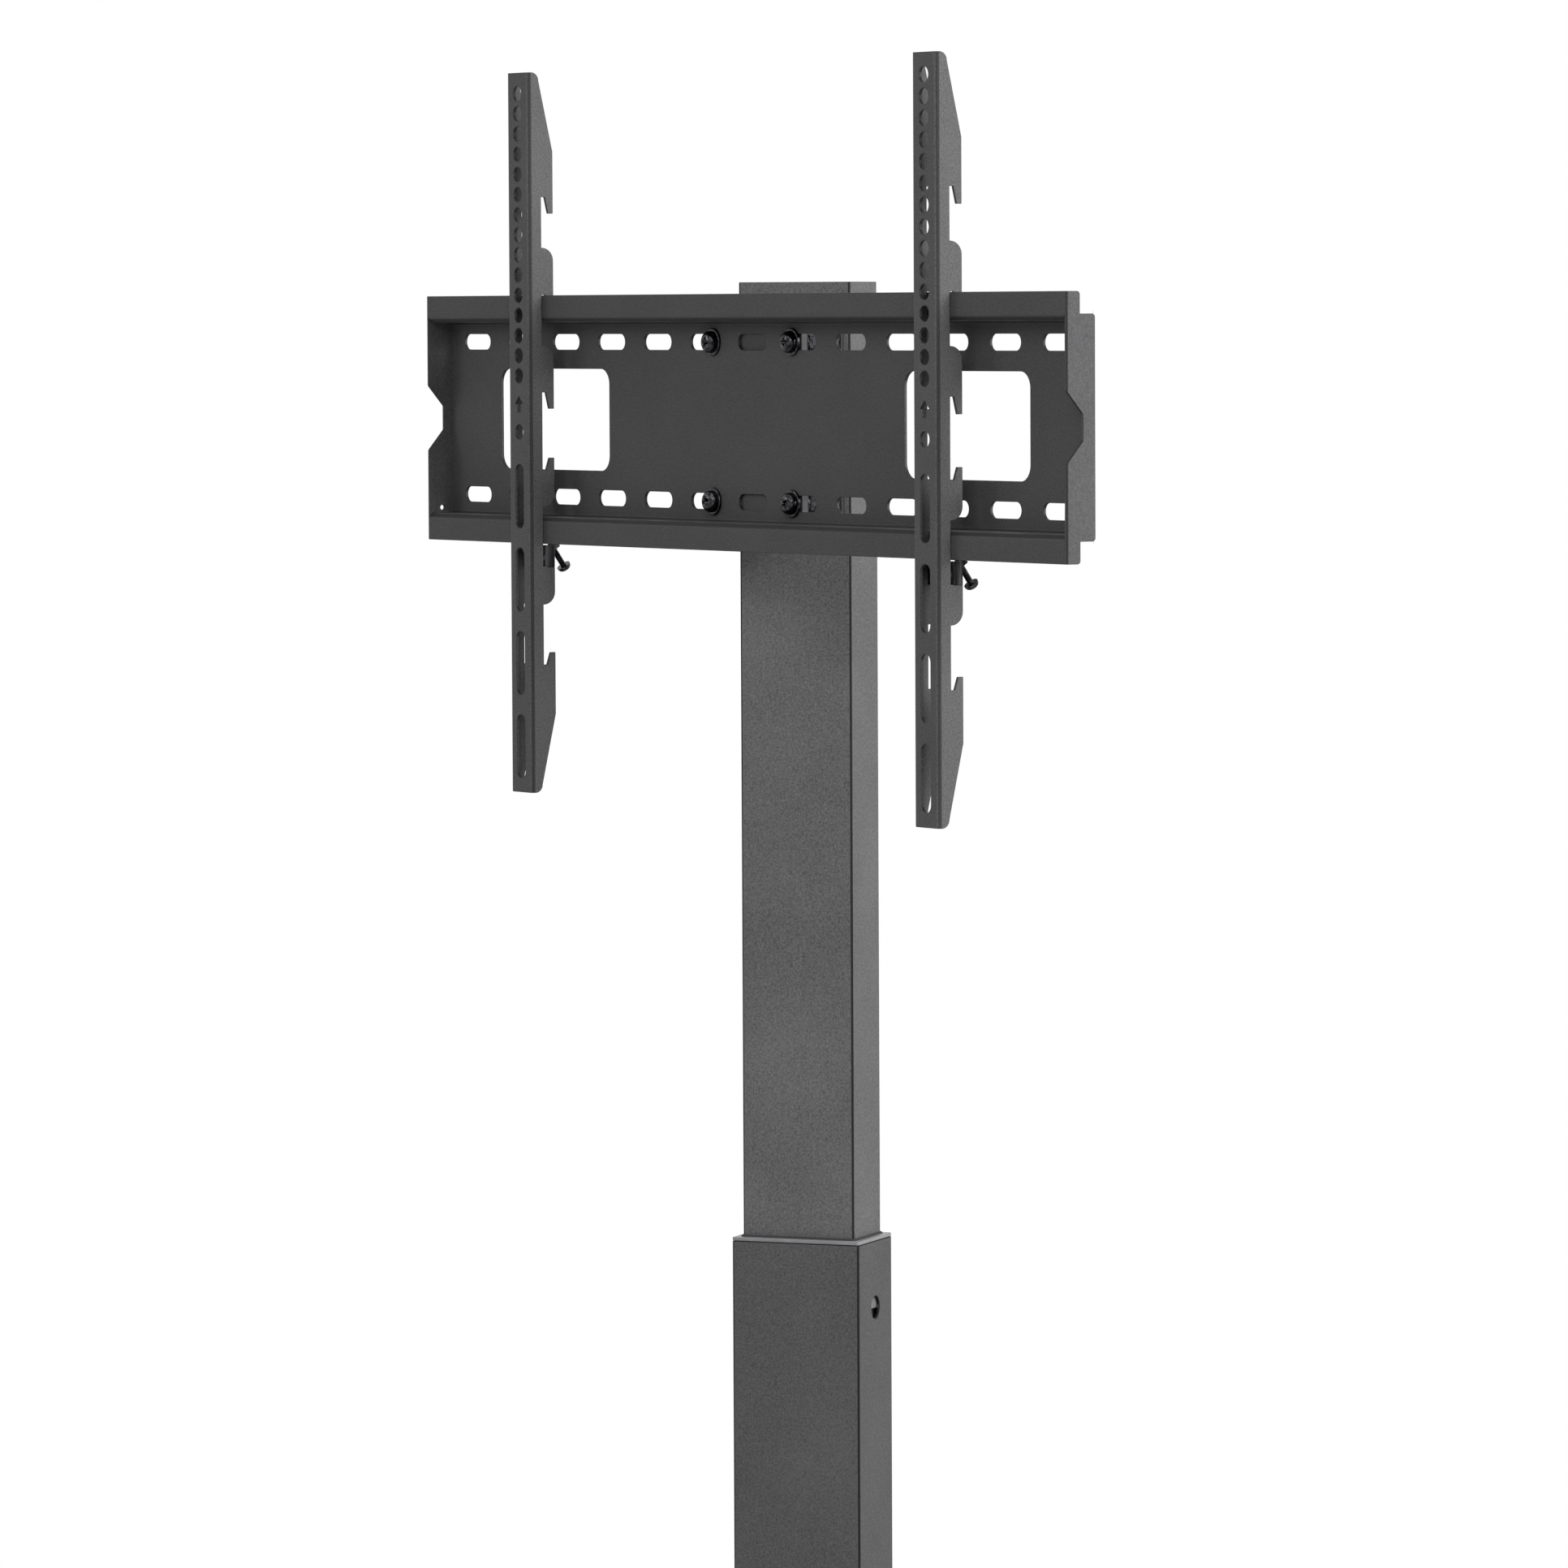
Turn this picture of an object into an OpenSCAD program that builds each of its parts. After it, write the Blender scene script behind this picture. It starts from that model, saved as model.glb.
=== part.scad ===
// Telescopic floor stand that carries a flat screen on a swivelling, hook-on mount.
// Every length is in millimetres. The X axis runs along the mount's wall plate, the screen faces -Y and
// Z points up. The origin is on the floor, on the column's axis.

/* [Base] */
// Width of the floor plate
base_w = 650; // [500:10:800]
// Depth of the floor plate, front to back
base_d = 450; // [380:10:600]
// Thickness of the floor plate
base_t = 8; // [6:1:12]
// Corner radius of the floor plate
base_corner_r = 30; // [15:1:60]
// Distance from the column's axis to the floor plate's back edge
base_back = 165; // [120:5:200]
// Radius of a floor pad
pad_r = 20; // [12:1:28]
// Height of a floor pad
pad_h = 4; // [2:0.5:8]
// Distance from the floor plate's edges to a pad's centre
pad_inset = 50; // [35:1:70]
// Width of the foot flange under the column
foot_w = 150; // [130:2:200]
// Depth of the foot flange
foot_d = 120; // [100:2:160]
// Thickness of the foot flange
foot_t = 8; // [5:1:12]
// Corner radius of the foot flange
foot_corner_r = 10; // [4:1:18]
// Distance from the foot flange's edges to a screw's axis
foot_screw_inset = 16; // [13:1:20]

/* [Column] */
// Height of the fixed column, from the floor to the top of its collar
column_h = 740; // [640:10:840]
// Width of the outer tube
outer_w = 83; // [77:1:100]
// Depth of the outer tube
outer_d = 56; // [52:1:70]
// Wall of both tubes
tube_wall = 2; // [1.5:0.1:2.4]
// Outer corner radius of both tubes
tube_corner_r = 1.5; // [1:0.1:4]
// Rim that the collar shows round the inner tube
rim = 5.2; // [4.6:0.1:6]
// Visible thickness of the collar
collar_t = 2.2; // [1.8:0.1:6]
// Length of the inner tube
inner_len = 798; // [700:1:900]
// Length of the inner tube that is inside the column in the photographed position
tube_overlap = 216; // [160:1:300]
// Height of the glides between the tubes
glide_h = 35.8; // [30:0.1:50]
// Radius of the hole in the outer tube's side
side_hole_r = 6.75; // [4:0.25:9]
// Distance from the hole's axis up to the lower edge of the glide that is seen in it
side_hole_rise = -1; // [-3:0.5:3]

/* [Drive] */
// Radius of the motor's can
motor_r = 19; // [14:0.5:20]
// Length of the motor's can
motor_len = 70; // [50:1:80]
// Width of the gearbox
gearbox_w = 42; // [38:1:60]
// Depth of the gearbox
gearbox_d = 40; // [36:1:42]
// Height of the gearbox
gearbox_h = 28; // [24:1:34]
// Gap from the foot flange to the motor, left for the wiring
motor_lift = 38; // [30:1:45]
// Thickness of the plate that holds the motor and the bearing
motor_plate_t = 14; // [12:0.5:18]
// Radius of the lead screw
screw_r = 7; // [6.5:0.25:9]
// Gap from the lead screw's top to the collar's top
screw_top_gap = 40; // [20:5:60]
// Height of the drive nut
nut_block_h = 30; // [20:1:40]
// Width of the power inlet's flange
inlet_w = 30; // [24:1:36]
// Height of the power inlet's flange
inlet_h = 20; // [16:1:24]

/* [Swivel] */
// Turn of the mount from straight ahead, in the photographed position
head_turn = 34.5; // [0:0.5:35]
// Distance from the inner tube's front forward to the swivel's axis
pivot_room = 24.2; // [24.2:0.1:34]
// Distance from the inner tube's top down to the wall plate's centre
plate_drop = 84.3; // [80:0.1:110]
// Radius of the swivel pin
pin_r = 6; // [4:0.25:7]
// Outer radius of the barrel that turns on the pin
barrel_r = 12; // [9.5:0.5:12.5]
// Length of the barrel
barrel_len = 96; // [80:1:100]
// Distance from the swivel's axis forward to the swivel bracket
web_gap = 12.9; // [12.9:0.1:15]
// Height of the swivel bracket
swivel_h = 118; // [110:1:120]
// Thickness of the swivel bracket
swivel_t = 4.5; // [3:0.1:5]
// Corner radius of the swivel bracket
swivel_corner_r = 6; // [2:0.5:8]
// Width of the column bracket
column_bracket_w = 65; // [58:1:66]
// Height of the column bracket
column_bracket_h = 132; // [126:1:150]
// Thickness of the column bracket's back
column_bracket_t = 4; // [3:0.5:5]
// Thickness of the ears that hold the swivel pin
ear_t = 5; // [4:0.5:6]

/* [Wall plate] */
// Length of the wall plate
plate_w = 698; // [640:2:760]
// Height of the wall plate over its two lips
plate_h = 154.5; // [146:0.5:162]
// Height of the wall plate's tray over its two shelves
tray_h = 125; // [123:0.5:130]
// Depth of the tray, from its front face to the lips' front
tray_d = 18; // [16:0.5:22]
// Thickness of the wall plate's sheet
sheet_t = 2; // [1.5:0.1:2.4]
// Inner radius of the sheet's bends
bend_r = 2; // [1:0.1:2.5]
// Number of slots in a row
slot_count = 13; // [9:2:13]
// Distance between two slots in a row
slot_pitch = 52.7; // [46:0.1:54]
// Length of a slot
slot_len = 31; // [26:0.5:34]
// Height of a slot
slot_h = 9.7; // [8.6:0.1:11]
// Distance between the two rows of slots
row_gap = 96.5; // [94:0.5:100]
// Length of a window
window_w = 127; // [100:1:128]
// Height of a window
window_h = 63; // [40:1:66]
// Corner radius of a window
window_r = 9.5; // [4:0.5:14]
// Distance from the wall plate's end to the window
window_end = 61; // [50:1:62]

/* [Screen arms] */
// Distance from the wall plate's centre to each arm's centre
arm_x = 222; // [120:1:300]
// Width of an arm
arm_w = 25; // [23:0.5:30]
// Depth of an arm's flanges
arm_d = 18; // [17:0.5:20]
// Depth of an arm's flanges at its two ends
arm_end_d = 8; // [6:0.5:12]
// Length over which an arm's flanges taper
arm_taper = 49; // [30:1:60]
// Outer radius of an arm's long bends
arm_bend_r = 3; // [2.4:0.1:4]
// Corner radius of the flanges at an arm's two ends
arm_corner_r = 5; // [2:0.5:6]
// Depth at which an arm rests on the wall plate's lips
rest_d = 9.5; // [8:0.5:11]
// Distance from an arm's top to its first hook
first_hook = 77.2; // [74:0.1:80]
// Distance between two hooks
hook_pitch = 60.6; // [59:0.1:62]
// Length of a hook's tooth in the upper half of an arm
tooth_len = 10.2; // [8:0.1:11]
// Length of a hook's tooth in the lower half of an arm
lower_tooth_len = 7.6; // [6:0.1:11]
// Length by which an arm's lower end is longer than its upper end
end_room = 2.7; // [0:0.1:4]
// Length of a recess in the upper half of an arm
upper_recess = 31.4; // [30:0.1:34]
// Length of a recess in the lower half of an arm
lower_recess = 37.4; // [35:0.1:38]
// Length of the recess in the middle of an arm
middle_recess = 48.2; // [44:0.1:52]
// Room between the wall plate and the end of the recess that holds the latch
latch_room = 14.9; // [14.5:0.1:16]
// Radius of the flange where a recess ends
recess_r = 8; // [4:0.5:8.5]
// Radius of a screen screw's hole
hole_r = 4.7; // [3:0.1:5]
// Distance between two screw holes
hole_pitch = 12.5; // [12:0.1:12.6]
// Number of screw holes in the row
hole_count = 15; // [10:1:15]
// Distance from an arm's top to its first hole
hole_start = 13; // [10:0.5:14]
// Distance from the last hole of the row to the arrow's middle, and from there to the single hole
arrow_gap = 17.5; // [15:0.5:18]
// Height of the arrow
arrow_h = 10; // [7:0.5:11]
// Width of an arm's long slot
long_slot_w = 9.7; // [6:0.1:10]
// Length of an arm's long slot
long_slot_len = 40; // [30:1:46]
// Distance from the single hole to the first long slot
long_slot_gap = 20; // [16:0.5:22]
// Distance from the last long slot to an arm's lower end
long_slot_end = 8.7; // [5:0.1:12]
// Number of long slots
long_slot_count = 4; // [3:1:4]

/* [Latches and fasteners] */
// Height of a latch
latch_h = 13.8; // [12:0.1:14]
// Thickness of a latch
latch_t = 2; // [1.5:0.1:2]
// Length of a latch's ear outside its arm
latch_ear = 7; // [5:0.5:9]
// Height of a latch's ear
latch_ear_h = 10.4; // [7:0.1:11]
// Rise of a latch's ramp, in degrees
ramp_angle = 35; // [25:1:38]
// Length of a latch's ramp
ramp_len = 14; // [13:0.5:16]
// Radius of a lock screw
lock_r = 1.9; // [1.5:0.1:2.2]
// Length of a lock screw's shank
lock_len = 17; // [15:0.5:22]
// Distance between the two columns of wall plate bolts
bolt_gap = 86; // [84:0.5:88]
// Distance from a wall plate bolt's axis to the swivel bracket's side
bolt_side = 7; // [7:0.5:9]
// Radius of a wall plate bolt
bolt_r = 4; // [3:0.1:4.2]
// Radius of a wall plate bolt's head
bolt_head_r = 6.8; // [6:0.1:7.5]
// Height of a wall plate bolt's head
bolt_head_h = 5; // [3.5:0.1:6]
// Radius of a wall plate bolt's washer
washer_r = 8.4; // [7.8:0.1:9]
// Thickness of a washer
washer_t = 1.6; // [1:0.1:2]

/* [Hidden] */
// names of the pieces
$fn = 64;

// clearances
run_gap = 0.3;
fit_gap = 0.1;
journal_gap = 0.05;
over = 1;

// fasteners
m8_r = 4;
m8_head_r = 6.6;
m8_head_h = 4.4;
m6_r = 3;
m6_head_r = 5;
m6_head_h = 3.2;
hex_share = 0.46;
socket_depth_share = 0.55;
cross_w_share = 0.2;
cross_depth_share = 0.5;
nut_r = 7.4;
nut_h = 6.4;
rear_washer_r = 7;
bolt_tail = 1.5;
pin_head_r = 9.6;
pin_head_h = 5;
pin_nut_r = 10;
pin_nut_h = 8;
pivot_washer_t = 1;
lock_head_r = 4.4;
lock_head_h = 3.4;

// heights
base_z = pad_h;
foot_z = base_z + base_t;
column_z = foot_z + foot_t;
tube_top = column_h - collar_t;
inner_z = column_h - tube_overlap;
inner_top = inner_z + inner_len;
plate_z = inner_top - plate_drop;
motor_z = column_z + motor_lift;
gearbox_z = motor_z + motor_len;
motor_plate_z = gearbox_z + gearbox_h;
motor_plate_top = motor_plate_z + motor_plate_t;
screw_top = column_h - screw_top_gap;

// column outlines
inner_w = outer_w - 2 * rim;
inner_d = outer_d - 2 * rim;
bore_w = outer_w - 2 * tube_wall;
bore_d = outer_d - 2 * tube_wall;
bore_r_min = 0.5;
bore_r = max(tube_corner_r - tube_wall, bore_r_min);
inner_bore_w = inner_w - 2 * tube_wall;
inner_bore_d = inner_d - 2 * tube_wall;
skirt_h = 6;
skirt_t = 1.4;
glide_top = tube_top - skirt_h;
glide_split = 2;
side_hole_z = glide_top - glide_h - side_hole_rise;
cap_t = 3;
cap_h = 12;

// drive details
bearing_r = 14;
bearing_h = 8;
journal_step = 1;
journal_r = screw_r - journal_step;
tail_step = 2.5;
tail_r = screw_r - tail_step;
tail_len = 18;
shoulder_gap = 0.5;
inlet_t = 2;
inlet_body_d = 20;
inlet_wall = 4;
inlet_rise = 22;
inlet_z = column_z + inlet_rise;
socket_wall = 3;

// swivel places, from the swivel's axis
barrel_half = barrel_len / 2;
washer_z = barrel_half + run_gap;
ear_z = washer_z + pivot_washer_t;
ear_gap = 0.6;
ear_r = web_gap - ear_gap;
ear_w = 2 * ear_r;
pivot_reach = inner_d / 2 + pivot_room;
bracket_bolt_side = 5.5;
bracket_bolt_x = column_bracket_w / 2 - bracket_bolt_side;
bracket_bolt_top = 50;
bracket_bolt_bottom = -36;
web_back = -web_gap;
web_front = -(web_gap + swivel_t);
swivel_w = bolt_gap + 2 * bolt_side;
barrel_pad_w = 18;

// wall plate places, from the swivel's axis and the plate's middle
plate_front = web_gap + swivel_t + sheet_t;
lip_front = plate_front + tray_d;
shelf_z = tray_h / 2;
end_rear_h = tray_h + 2 * sheet_t;
end_front_d = 9.5;
end_corner_r = 2;
end_edge_r = 1.6;
notch_h = 42;
notch_mouth_share = 0.36;
notch_d = 11.5;
rivet_hole_r = 1.6;
rivet_hole_d = 8;
rivet_hole_z = 57;

// arm places
arm_y = -(lip_front + rest_d + run_gap);
main_hook = first_hook + hook_pitch;
hook_span = 2 * main_hook + plate_h + latch_room;
arm_len = hook_span + end_room;
arm_top = plate_z + plate_h / 2 + run_gap + main_hook;
hook_top_w = sheet_t + 2 * run_gap;
hook_mouth_w = 5;
middle_hook = (hook_span - middle_recess) / 2;
latch_bottom = hook_span - main_hook;
arrow_drop = hole_start + (hole_count - 1) * hole_pitch + arrow_gap;
single_hole = arrow_drop + arrow_gap;
long_slot_start = single_hole + long_slot_gap;
long_slot_pitch = (arm_len - long_slot_start - long_slot_end - long_slot_len) / (long_slot_count - 1);
latch_x = 5;
latch_curl_r = 8.5;
latch_ear_r = 4;
ramp_w = 10;
ramp_drop = 5.8;
ramp_hole_share = 0.8;
lock_tip = 3;
arrow_head_share = 0.5;
arrow_stem_share = 0.4;
arrow_w_share = 0.9;

// colours
paint = [0.27, 0.27, 0.28];
paint_light = [0.36, 0.36, 0.37];
black = [0.06, 0.06, 0.065];
steel = [0.62, 0.62, 0.64];
plastic = [0.16, 0.16, 0.17];
rubber = [0.1, 0.1, 0.1];
nylon = [0.82, 0.81, 0.76];

// Shared shapes
module rounded_rect(w, d, r) {
    square([w - 2 * r, d], center = true);
    square([w, d - 2 * r], center = true);
    for (x = [-1, 1], y = [-1, 1]) {
        translate([x * (w / 2 - r), y * (d / 2 - r)]) circle(r = r);
    }
}

module frame_rect(w, d, r, hole_w, hole_d, hole_r) {
    difference() {
        rounded_rect(w, d, r);
        rounded_rect(hole_w, hole_d, hole_r);
    }
}

module slot_shape(len, w) {
    square([len - w, w], center = true);
    for (x = [-1, 1]) {
        translate([x * (len - w) / 2, 0]) circle(d = w);
    }
}

// quarter of a bent sheet, in the quadrant where both coordinates are positive
module sheet_corner(r, t) {
    intersection() {
        difference() {
            circle(r = r + t);
            circle(r = r);
        }
        square(r + t);
    }
}

// what is cut off a corner to leave it round
module corner_cut(r) {
    difference() {
        square(r + over);
        circle(r = r);
    }
}

// screw along +Z with its head's seat at zero
module socket_screw(r, len, head_r, head_h) {
    difference() {
        union() {
            translate([0, 0, -len]) cylinder(r = r, h = len);
            cylinder(r = head_r, h = head_h);
        }
        translate([0, 0, head_h * (1 - socket_depth_share)]) {
            cylinder(r = head_r * hex_share, h = head_h, $fn = 6);
        }
    }
}

// pan head with a cross recess, seat at zero, shank along -Z
module cross_screw(r, len, head_r, head_h) {
    dome_r = (head_r * head_r + head_h * head_h) / (2 * head_h);
    cross_w = head_r * cross_w_share;
    difference() {
        union() {
            translate([0, 0, -len]) cylinder(r = r, h = len);
            intersection() {
                cylinder(r = head_r, h = head_h);
                translate([0, 0, head_h - dome_r]) sphere(r = dome_r);
            }
        }
        for (turn = [0, 90]) {
            rotate([0, 0, turn]) translate([-head_r / 2, -cross_w / 2, head_h * (1 - cross_depth_share)]) {
                cube([head_r, cross_w, head_h]);
            }
        }
    }
}

// Places
module on_column() {
    rotate([0, 0, head_turn]) children();
}

// the swivel's axis at the wall plate's height, turned with the column
module at_pivot_on_column() {
    on_column() translate([0, -pivot_reach, plate_z]) children();
}

// the same place, square to the wall plate
module at_pivot() {
    translate([pivot_reach * sin(head_turn), -pivot_reach * cos(head_turn), plate_z]) children();
}

// a shape drawn in the Y-Z plane, made len long and centred along X
module along_x(len) {
    rotate([90, 0, 90]) linear_extrude(height = len, center = true) children();
}

// an arm's own place: top of its web's front face
module at_arm(side) {
    at_pivot() translate([side * arm_x, arm_y, arm_top - plate_z]) children();
}

// Base
module at_foot_screws() {
    for (x = [-1, 1], y = [-1, 1]) {
        translate([x * (foot_w / 2 - foot_screw_inset), y * (foot_d / 2 - foot_screw_inset)]) children();
    }
}

module floor_plate() {
    color(paint) on_column() difference() {
        translate([0, base_back - base_d / 2, base_z]) {
            linear_extrude(height = base_t) rounded_rect(base_w, base_d, base_corner_r);
        }
        at_foot_screws() translate([0, 0, base_z - over]) cylinder(r = m8_r, h = base_t + 2 * over);
    }
}

module floor_pads() {
    color(rubber) on_column() translate([0, base_back - base_d / 2, 0]) {
        for (x = [-1, 1], y = [-1, 1]) {
            translate([x * (base_w / 2 - pad_inset), y * (base_d / 2 - pad_inset), 0]) {
                cylinder(r = pad_r, h = pad_h);
            }
        }
    }
    color(rubber) cylinder(r = pad_r, h = pad_h);
}

module foot_flange() {
    color(paint) on_column() difference() {
        translate([0, 0, foot_z]) linear_extrude(height = foot_t) rounded_rect(foot_w, foot_d, foot_corner_r);
        at_foot_screws() translate([0, 0, foot_z - over]) {
            cylinder(r = m8_r + fit_gap, h = foot_t + 2 * over);
        }
    }
}

module foot_screws() {
    color(black) on_column() at_foot_screws() translate([0, 0, column_z]) {
        socket_screw(m8_r - fit_gap, foot_t + base_t, m8_head_r, m8_head_h);
    }
}

// Fixed column
module outer_tube() {
    color(paint_light) on_column() difference() {
        translate([0, 0, column_z]) linear_extrude(height = tube_top - column_z) {
            frame_rect(outer_w, outer_d, tube_corner_r, bore_w, bore_d, bore_r);
        }
        translate([0, 0, side_hole_z]) rotate([0, 90, 0]) {
            cylinder(r = side_hole_r, h = outer_w + 2 * over, center = true);
        }
        translate([0, outer_d / 2, inlet_z]) {
            cube([inlet_w - 2 * inlet_wall, 2 * tube_wall + over, inlet_h - 2 * inlet_wall], center = true);
        }
    }
}

module collar_ring() {
    slide_w = inner_w + 2 * run_gap;
    slide_d = inner_d + 2 * run_gap;
    skirt_w = bore_w - 2 * fit_gap;
    skirt_d = bore_d - 2 * fit_gap;
    color(plastic) on_column() {
        translate([0, 0, tube_top]) linear_extrude(height = collar_t) {
            frame_rect(outer_w, outer_d, tube_corner_r, slide_w, slide_d, tube_corner_r);
        }
        translate([0, 0, glide_top]) linear_extrude(height = skirt_h) {
            frame_rect(skirt_w, skirt_d, bore_r, skirt_w - 2 * skirt_t, skirt_d - 2 * skirt_t, bore_r);
        }
    }
}

module upper_glides() {
    color(nylon) on_column() difference() {
        translate([0, 0, glide_top - glide_h]) linear_extrude(height = glide_h) {
            frame_rect(bore_w - 2 * fit_gap, bore_d - 2 * fit_gap, bore_r,
                       inner_w + 2 * run_gap, inner_d + 2 * run_gap, tube_corner_r);
        }
        translate([-glide_split / 2, -outer_d / 2, 0]) cube([glide_split, outer_d, column_h]);
    }
}

// Drive
module motor_plate() {
    color(steel) on_column() difference() {
        translate([0, 0, motor_plate_z]) linear_extrude(height = motor_plate_t) {
            rounded_rect(bore_w - 2 * fit_gap, bore_d - 2 * fit_gap, bore_r);
        }
        translate([0, 0, motor_plate_top - bearing_h]) cylinder(r = bearing_r, h = bearing_h + over);
        translate([0, 0, motor_plate_z - over]) cylinder(r = journal_r + run_gap, h = motor_plate_t);
    }
}

module gear_motor() {
    color(black) on_column() {
        translate([0, 0, motor_z]) cylinder(r = motor_r, h = motor_len);
        difference() {
            translate([-gearbox_w / 2, -gearbox_d / 2, gearbox_z]) cube([gearbox_w, gearbox_d, gearbox_h]);
            translate([0, 0, motor_plate_z - tail_len - shoulder_gap]) {
                cylinder(r = tail_r + journal_gap, h = tail_len + over);
            }
        }
    }
}

module screw_bearing() {
    color(steel) on_column() translate([0, 0, motor_plate_top - bearing_h]) difference() {
        cylinder(r = bearing_r, h = bearing_h);
        translate([0, 0, -over]) cylinder(r = journal_r + journal_gap, h = bearing_h + 2 * over);
    }
}

module lead_screw() {
    color(steel) on_column() {
        translate([0, 0, motor_plate_top + shoulder_gap]) {
            cylinder(r = screw_r, h = screw_top - motor_plate_top - shoulder_gap);
        }
        translate([0, 0, motor_plate_z]) cylinder(r = journal_r, h = motor_plate_t + shoulder_gap);
        translate([0, 0, motor_plate_z - tail_len]) cylinder(r = tail_r, h = tail_len);
    }
}

module power_inlet() {
    hole_w = inlet_w - 2 * inlet_wall;
    hole_h = inlet_h - 2 * inlet_wall;
    color(black) on_column() translate([0, outer_d / 2, inlet_z]) difference() {
        union() {
            translate([0, inlet_t / 2, 0]) cube([inlet_w, inlet_t, inlet_h], center = true);
            translate([0, -inlet_body_d / 2, 0]) {
                cube([hole_w - 2 * fit_gap, inlet_body_d, hole_h - 2 * fit_gap], center = true);
            }
        }
        translate([0, inlet_t - inlet_body_d / 4, 0]) {
            cube([hole_w - 2 * socket_wall, inlet_body_d / 2 + over, hole_h - 2 * socket_wall],
                 center = true);
        }
    }
}

// Moving column
module at_bracket_bolts() {
    for (x = [-1, 1], z = [bracket_bolt_bottom, bracket_bolt_top]) {
        translate([x * bracket_bolt_x, 0, z]) children();
    }
}

module inner_tube() {
    color(paint_light) difference() {
        on_column() translate([0, 0, inner_z]) linear_extrude(height = inner_len) {
            frame_rect(inner_w, inner_d, tube_corner_r, inner_bore_w, inner_bore_d, bore_r);
        }
        at_pivot_on_column() at_bracket_bolts() translate([0, pivot_room - over, 0]) {
            rotate([-90, 0, 0]) cylinder(r = m6_r + fit_gap, h = tube_wall + 2 * over);
        }
    }
}

module tube_cap() {
    plug_w = inner_bore_w - 2 * fit_gap;
    plug_d = inner_bore_d - 2 * fit_gap;
    color(plastic) on_column() translate([0, 0, inner_top - cap_h]) difference() {
        linear_extrude(height = cap_h) rounded_rect(plug_w, plug_d, bore_r);
        translate([0, 0, -cap_t]) linear_extrude(height = cap_h) {
            rounded_rect(plug_w - 2 * cap_t, plug_d - 2 * cap_t, bore_r);
        }
    }
}

module lower_glide() {
    color(nylon) on_column() translate([0, 0, inner_z]) linear_extrude(height = glide_h) {
        frame_rect(bore_w - 2 * run_gap, bore_d - 2 * run_gap, bore_r,
                   inner_w + 2 * fit_gap, inner_d + 2 * fit_gap, tube_corner_r);
    }
}

module drive_nut() {
    color(nylon) on_column() translate([0, 0, inner_z]) difference() {
        linear_extrude(height = nut_block_h) {
            rounded_rect(inner_bore_w - 2 * fit_gap, inner_bore_d - 2 * fit_gap, bore_r);
        }
        translate([0, 0, -over]) cylinder(r = screw_r + journal_gap, h = nut_block_h + 2 * over);
    }
}

module column_bracket() {
    color(paint) at_pivot_on_column() difference() {
        union() {
            translate([-column_bracket_w / 2, pivot_room - column_bracket_t, -column_bracket_h / 2]) {
                cube([column_bracket_w, column_bracket_t, column_bracket_h]);
            }
            for (z = [-ear_z - ear_t, ear_z]) {
                translate([0, 0, z]) {
                    cylinder(r = ear_r, h = ear_t);
                    translate([-ear_w / 2, 0, 0]) cube([ear_w, pivot_room - column_bracket_t / 2, ear_t]);
                }
            }
        }
        translate([0, 0, -column_bracket_h]) cylinder(r = pin_r + journal_gap, h = 2 * column_bracket_h);
        at_bracket_bolts() translate([0, pivot_room - column_bracket_t - over, 0]) {
            rotate([-90, 0, 0]) cylinder(r = m6_r + fit_gap, h = column_bracket_t + 2 * over);
        }
    }
}

module bracket_bolts() {
    color(black) at_pivot_on_column() at_bracket_bolts() {
        translate([0, pivot_room - column_bracket_t, 0]) rotate([90, 0, 0]) {
            socket_screw(m6_r, column_bracket_t + tube_wall, m6_head_r, m6_head_h);
        }
    }
}

module pivot_pin() {
    color(black) at_pivot_on_column() {
        translate([0, 0, ear_z + ear_t]) {
            socket_screw(pin_r, 2 * (ear_z + ear_t) + pin_nut_h, pin_head_r, pin_head_h);
        }
    }
}

module pivot_washers() {
    color(nylon) at_pivot_on_column() for (z = [-washer_z - pivot_washer_t, washer_z]) {
        translate([0, 0, z]) difference() {
            cylinder(r = barrel_r, h = pivot_washer_t);
            translate([0, 0, -over]) cylinder(r = pin_r + fit_gap, h = pivot_washer_t + 2 * over);
        }
    }
}

module pivot_nut() {
    color(black) at_pivot_on_column() translate([0, 0, -ear_z - ear_t - pin_nut_h]) difference() {
        cylinder(r = pin_nut_r, h = pin_nut_h, $fn = 6);
        translate([0, 0, -over]) cylinder(r = pin_r + fit_gap, h = pin_nut_h + 2 * over);
    }
}

// Swivelling mount
module at_plate_bolts() {
    for (x = [-1, 1], z = [-1, 1]) {
        translate([x * bolt_gap / 2, 0, z * row_gap / 2]) children();
    }
}

module swivel_bracket() {
    color(paint) at_pivot() difference() {
        translate([0, web_back, 0]) rotate([90, 0, 0]) {
            linear_extrude(height = swivel_t) rounded_rect(swivel_w, swivel_h, swivel_corner_r);
        }
        at_plate_bolts() translate([0, web_front - over, 0]) {
            rotate([-90, 0, 0]) cylinder(r = bolt_r + fit_gap, h = swivel_t + 2 * over);
        }
    }
}

module pivot_barrel() {
    color(black) at_pivot() difference() {
        union() {
            translate([0, 0, -barrel_half]) cylinder(r = barrel_r, h = barrel_len);
            translate([-barrel_pad_w / 2, web_back, -barrel_half]) cube([barrel_pad_w, web_gap, barrel_len]);
        }
        translate([0, 0, -barrel_len]) cylinder(r = pin_r + journal_gap, h = 2 * barrel_len);
    }
}

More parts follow.
